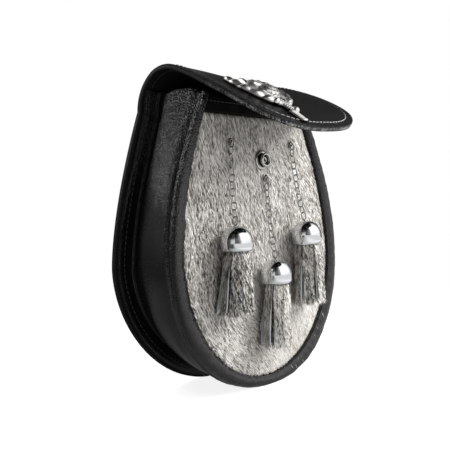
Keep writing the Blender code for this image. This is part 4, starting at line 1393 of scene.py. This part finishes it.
def leaf(route, widths, heights, lobes=0, vein=0.22):
    """Cast leaf along a route of u and v: a high rounded back, cut by a vein and by lobes."""
    line = through(route, LEAF_STEPS)
    count = len(line)
    t = np.linspace(0.0, 1.0, count)
    width, rise = (np.interp(t, np.linspace(0.0, 1.0, len(stops)), stops)[:, None]
                   for stops in (widths, heights))
    tangent = unit(np.gradient(line, axis=0))
    across = np.linspace(-1.0, 1.0, LEAF_COLUMNS)
    out = np.abs(across)
    notch = np.zeros((count, 1))
    if lobes:
        notch = 1.0 - np.abs(np.sin(math.pi * lobes * t[:, None] - 0.9 * out)) ** 0.7
    reach = width * (1.0 - 0.30 * notch * out ** 2)
    u = line[:, :1] - tangent[:, 1:] * reach * across
    v = line[:, 1:] + tangent[:, :1] * reach * across
    back = np.sqrt(np.maximum(1.0 - across ** 2, 0.0)) ** 0.8
    groove = np.exp(-(across / 0.13) ** 2)
    share = back * (1.0 - 0.62 * notch * np.minimum(out * 1.8, 1.0)) - vein * groove
    over = on_flap(u, v, GAP + np.maximum(rise * share, 0.35))
    under = on_flap(u, v, GAP)
    hollow = np.clip(1.05 - 1.5 * share, 0.0, 1.0)
    recess = np.concatenate([hollow, np.ones((count, LEAF_COLUMNS))], axis=1)
    return outward(loft(np.concatenate([over, under[:, ::-1]], axis=1), recess=recess))


def dome(u, v, radius_u, radius_v, height, base, pattern=None, rows=26, sides=60):
    """Rounded boss; pattern adds relief from the angle and the share from rim to crown."""
    share = np.linspace(0.0, 1.0, rows)[:, None]
    angle = round_angles(sides)[None]
    radius = np.cos(share * math.pi / 2 * 0.985)
    rise = height * np.sin(share * math.pi / 2) + 0.0 * angle
    recess = np.broadcast_to(np.where(share < 0.05, 1.0, 0.0), rise.shape)
    if pattern is not None:
        relief, hollow = pattern(angle, share)
        rise = rise + relief
        recess = np.maximum(recess, hollow)
        radius = radius * (1.0 + relief / height * 0.25)
    top = on_flap(u + radius_u * radius * np.cos(angle), v + radius_v * radius * np.sin(angle),
                  GAP + base + rise)
    foot = on_flap(u + radius_u * np.cos(angle), v + radius_v * np.sin(angle), GAP)
    return outward(loft(np.concatenate([foot, top]),
                        recess=np.concatenate([np.ones((1, sides)), recess])))


def scales(angle, share):
    """Overlapping scales of a flower head."""
    rows = share * 7.0
    shifted = angle * 14.0 / TURN + 0.5 * (np.floor(rows) % 2)
    across = np.abs((shifted % 1.0) - 0.5) * 2.0
    up = rows % 1.0
    edge = up - 0.55 * across
    relief = 0.6 * np.clip(1.0 - edge * 1.3, 0.0, 1.0) * (up < 0.999)
    hollow = np.where((across > 0.8) | (up > 0.86), 0.8, 0.0)
    return relief, hollow


HEAD_U = 1.5                     # middle of the thistle's head and of its wreath
# the wreath's leaves from the stem up, as rows of a distance from that middle and of v
OUTER_LEAF = ((2.0, 43.5), (9.0, 39.0), (15.5, 30.0), (19.0, 19.0), (18.5, 8.0), (14.0, 1.5))
INNER_LEAF = ((7.0, 35.0), (10.5, 28.0), (12.8, 19.0), (10.5, 10.0), (8.5, 8.5))


def spikes():
    """Crown of spikes over the head, longest in the middle."""
    made = []
    for number, angle in enumerate(np.radians(np.linspace(-64.0, 60.0, 8))):
        length = 14.0 - 0.5 * abs(number - 3.5) ** 1.5
        start = (HEAD_U + 5.2 * math.sin(angle), 24.0 - 3.0 * math.cos(angle))
        end = (start[0] + length * math.sin(angle * 0.85), start[1] - length * math.cos(angle))
        middle = ((start[0] + end[0]) / 2 + 0.6 * math.sin(angle * 3.0),
                  (start[1] + end[1]) / 2)
        lower = number % 2
        made.append(leaf((start, middle, end), (1.5, 1.7, 0.3),
                         (5.6 - 0.7 * lower, 5.8 - 0.9 * lower, 2.6), vein=0.1))
    return made


def make_badge():
    """Cast thistle: a scaled head under a crown of spikes, two leaves, a stem and a tail."""
    parts = [dome(HEAD_U, 27.0, 8.4, 8.0, 5.2, base=1.0, pattern=scales)] + spikes()
    for size in (-1.0, 0.86):
        outer, inner = ([(HEAD_U + size * u, v) for u, v in route]
                        for route in (OUTER_LEAF, INNER_LEAF))
        parts.append(leaf(outer, (1.4, 3.2, 3.9, 3.6, 2.9, 0.6), (2.2, 3.8, 4.0, 3.8, 3.4, 2.2),
                          lobes=7))
        parts.append(leaf(inner, (1.0, 2.2, 2.4, 1.8, 0.3), (3.6, 5.0, 5.2, 4.6, 3.0), lobes=4))
    parts.append(dome(-5.5, 41.0, 2.8, 2.3, 3.0, base=1.2))
    parts.append(dome(7.5, 40.5, 2.4, 2.1, 2.6, base=1.0))
    parts.append(leaf(((0.5, 34.0), (0.0, 43.0), (0.5, 52.0)), (3.0, 2.5, 2.3), (2.2, 2.2, 2.2)))
    for step in range(9):
        for side, lower in ((-1.25, 0.0), (1.25, 0.8)):
            parts.append(dome(0.4 + side, 35.5 + 1.75 * step + lower, 1.15, 1.05, 1.2, base=1.4,
                              rows=10, sides=18))
    parts.append(dome(1.4, 52.0, 2.7, 2.4, 2.9, base=1.2))
    parts.append(leaf(((-0.8, 51.0), (-0.6, 56.0), (0.0, 62.5)), (3.2, 2.9, 2.3),
                      (1.9, 1.8, 1.5), vein=0.0))
    for step in range(8):
        parts.append(dome(-0.7 + 0.08 * step, 52.8 + 1.2 * step, 2.9 - 0.09 * step, 0.5, 0.75,
                          base=1.35, rows=8, sides=24))
    parts.append(dome(0.1, 62.4, 2.4, 0.9, 1.1, base=1.2, rows=10, sides=30))
    add_piece("thistle", merge(parts), [SILVER], ["flap_badge"])


# ---- stage ------------------------------------------------------------------------------
WHITE = (1.0, 1.0, 1.0, 1.0)

# as solved from the bag's outlines in the photo
CAMERA_PLACE = (-355.393, -298.976, 112.899)
CAMERA_AZIMUTH = math.radians(-46.99)
CAMERA_ELEVATION = math.radians(0.563)
CAMERA_ROLL = math.radians(2.981)
CAMERA_LENS = 56.0
SENSOR = 36.0

LIGHTS_TARGET = Vector((0.0, 0.0, 0.09))         # in metres, like the distances from it
Softbox = namedtuple("Softbox", "name azimuth elevation distance width height radiance shiny")
SOFTBOXES = (                    # in degrees and metres
    Softbox("key", 52.0, 34.0, 1.2, 0.70, 0.70, 14.4, False),
    Softbox("left_box", -148.0, 41.0, 0.9, 0.30, 0.34, 8.4, True),
)
# how bright the studio is around the bag: azimuth 0 is in front of it and 90 to its right
STUDIO = ((-180.0, 0.40), (-164.0, 0.25), (-154.0, 0.12), (-140.0, 0.60), (-126.0, 0.60),
          (-112.0, 0.14), (-94.0, 0.14), (-84.0, 1.0), (-61.0, 0.95), (-58.5, 0.05),
          (-57.0, 0.05), (-55.5, 0.16), (-40.0, 0.20), (-24.0, 0.45), (-10.0, 1.80),
          (60.0, 1.60), (80.0, 0.8), (92.0, 0.15), (108.0, 0.04), (127.0, 0.04),
          (138.0, 0.65), (180.0, 0.40))
STUDIO_PEAK = 1.8                # the brightest of these
# and by height: the horizon is 0 and straight up 1
HEIGHTS = ((0.0, 0.72), (0.12, 0.80), (0.32, 1.0), (0.83, 1.0), (0.89, 0.05), (1.0, 0.03))
# a dark card high at the left, which the groove beside the roll reflects
CARD_AZIMUTH, CARD_ELEVATION = math.radians(-84.0), math.radians(48.0)
CARD_EDGE, CARD_CORE, CARD_SHARE = math.radians(42.0), math.radians(20.0), 0.06

FLOOR_HALF = 3.0                 # half its side, in metres
FLOOR_FADE = (0.22, 0.55)        # metres from the bag between which the floor turns plain white
FLOOR_GLOW, FLOOR_TONE = 0.86, 0.42
# light that the bag gets from the floor behind it and in front, and where one turns to the other
BOUNCE_REAR, BOUNCE_FRONT = 0.10, 0.90
BOUNCE_WAY, BOUNCE_SPAN = (0.34, -0.94, 0.0), (-0.06, 0.18)


def toward(azimuth, elevation):
    """Direction from the bag; azimuth 0 is in front of it and a quarter turn is to its right."""
    level = math.cos(elevation)
    return Vector((math.sin(azimuth) * level, -math.cos(azimuth) * level, math.sin(elevation)))


def add_camera():
    """The photo's camera, a little rolled."""
    data = bpy.data.cameras.new("camera")
    data.lens = CAMERA_LENS
    data.sensor_width = SENSOR
    data.clip_start = 0.01
    back = toward(CAMERA_AZIMUTH, CAMERA_ELEVATION)
    right = (-back).cross(Vector((0.0, 0.0, 1.0))).normalized()
    up = right.cross(-back)
    x = right * math.cos(CAMERA_ROLL) - up * math.sin(CAMERA_ROLL)
    y = right * math.sin(CAMERA_ROLL) + up * math.cos(CAMERA_ROLL)
    turn = Matrix((x, y, back)).transposed().to_4x4()
    camera = add_object("camera", data)
    camera.matrix_world = Matrix.Translation(put(CAMERA_PLACE)) @ turn
    bpy.context.scene.camera = camera


def add_lights():
    """Softboxes around the bag."""
    for box in SOFTBOXES:
        away = toward(math.radians(box.azimuth), math.radians(box.elevation))
        data = bpy.data.lights.new(box.name, "AREA")
        data.shape = "RECTANGLE"
        data.size, data.size_y = box.width, box.height
        data.energy = box.radiance * math.pi * box.width * box.height
        light = add_object(box.name, data)
        light.location = LIGHTS_TARGET + away * box.distance
        light.visible_glossy = box.shiny
        light.rotation_euler = away.to_track_quat("Z", "Y").to_euler()


def add_world():
    """A studio around the bag for light and reflections, and plain white to the eye."""
    world = bpy.data.worlds.new("studio")
    bpy.context.scene.world = world
    world.use_nodes = True
    w = Nodes(world.node_tree)
    way = w.add("TexCoord").outputs["Generated"]
    x, y, z = w.add("SeparateXYZ", {0: way}).outputs
    azimuth = w.math("ARCTAN2", x, w.times(y, -1.0))
    studio = w.grey_ramp(w.span(azimuth, -math.pi, math.pi),
                         [((a + 180.0) / 360.0, b / STUDIO_PEAK) for a, b in STUDIO])
    card = tuple(toward(CARD_AZIMUTH, CARD_ELEVATION))
    facing = w.vector("DOT_PRODUCT", way, card).outputs["Value"]
    shaded = w.span(facing, math.cos(CARD_EDGE), math.cos(CARD_CORE), 1.0, CARD_SHARE)
    level = w.times(w.times(studio, w.grey_ramp(z, HEIGHTS)), STUDIO_PEAK)
    unseen = w.add("Background", {"Color": WHITE, "Strength": w.times(level, shaded)})
    seen = w.add("Background", {"Color": WHITE, "Strength": 1.0})
    path = w.add("LightPath").outputs["Is Camera Ray"]
    mixed = w.add("MixShader", {0: path, 1: unseen.outputs[0], 2: seen.outputs[0]})
    w.join(mixed.outputs[0], w.tree.nodes["World Output"].inputs["Surface"])


def add_floor():
    """Pale floor that takes a soft shadow near the bag and fades to plain white."""
    data = bpy.data.meshes.new("floor")
    data.from_pydata([(x * FLOOR_HALF, y * FLOOR_HALF, 0.0) for x, y in
                      ((-1, -1), (1, -1), (1, 1), (-1, 1))], [], [(0, 1, 2, 3)])
    s = Shader("pale_floor", Roughness=0.9, Specular_IOR_Level=0.1, Emission_Color=WHITE)
    seen = s.add("LightPath").outputs["Is Camera Ray"]
    ahead = s.vector("DOT_PRODUCT", s.place, BOUNCE_WAY).outputs["Value"]
    bounce = s.span(ahead, *BOUNCE_SPAN, BOUNCE_REAR, BOUNCE_FRONT)
    s.join(s.span(seen, 0.0, 1.0, FLOOR_TONE / 2.0, FLOOR_TONE), s.surface.inputs["Base Color"])
    s.join(s.span(seen, 0.0, 1.0, bounce, FLOOR_GLOW), s.surface.inputs["Emission Strength"])
    glow = s.add("Emission", {"Color": WHITE, "Strength": s.span(seen, 0.0, 1.0, bounce, 1.0)})
    far = s.span(s.vector("LENGTH", s.place).outputs["Value"], *FLOOR_FADE)
    mixed = s.add("MixShader", {0: far, 1: s.surface.outputs[0], 2: glow.outputs[0]})
    s.join(mixed.outputs[0], s.tree.nodes["Material Output"].inputs["Surface"])
    data.materials.append(s.material)
    add_object("floor", data)


bpy.context.scene.view_settings.view_transform = "Standard"
add_camera()
add_lights()
add_world()
add_floor()
make_hide()
make_hide_stitches()
make_gusset()
make_flange_stitches()
make_rim()
make_binding()
make_front_board()
make_fur()
make_snap()
make_badge()
for number, drop in enumerate(DROPS):
    make_chain(drop, CHAIN_SEED + number)
    make_cap(drop)
    make_tassel(drop, TASSEL_SEED + 20 * number)
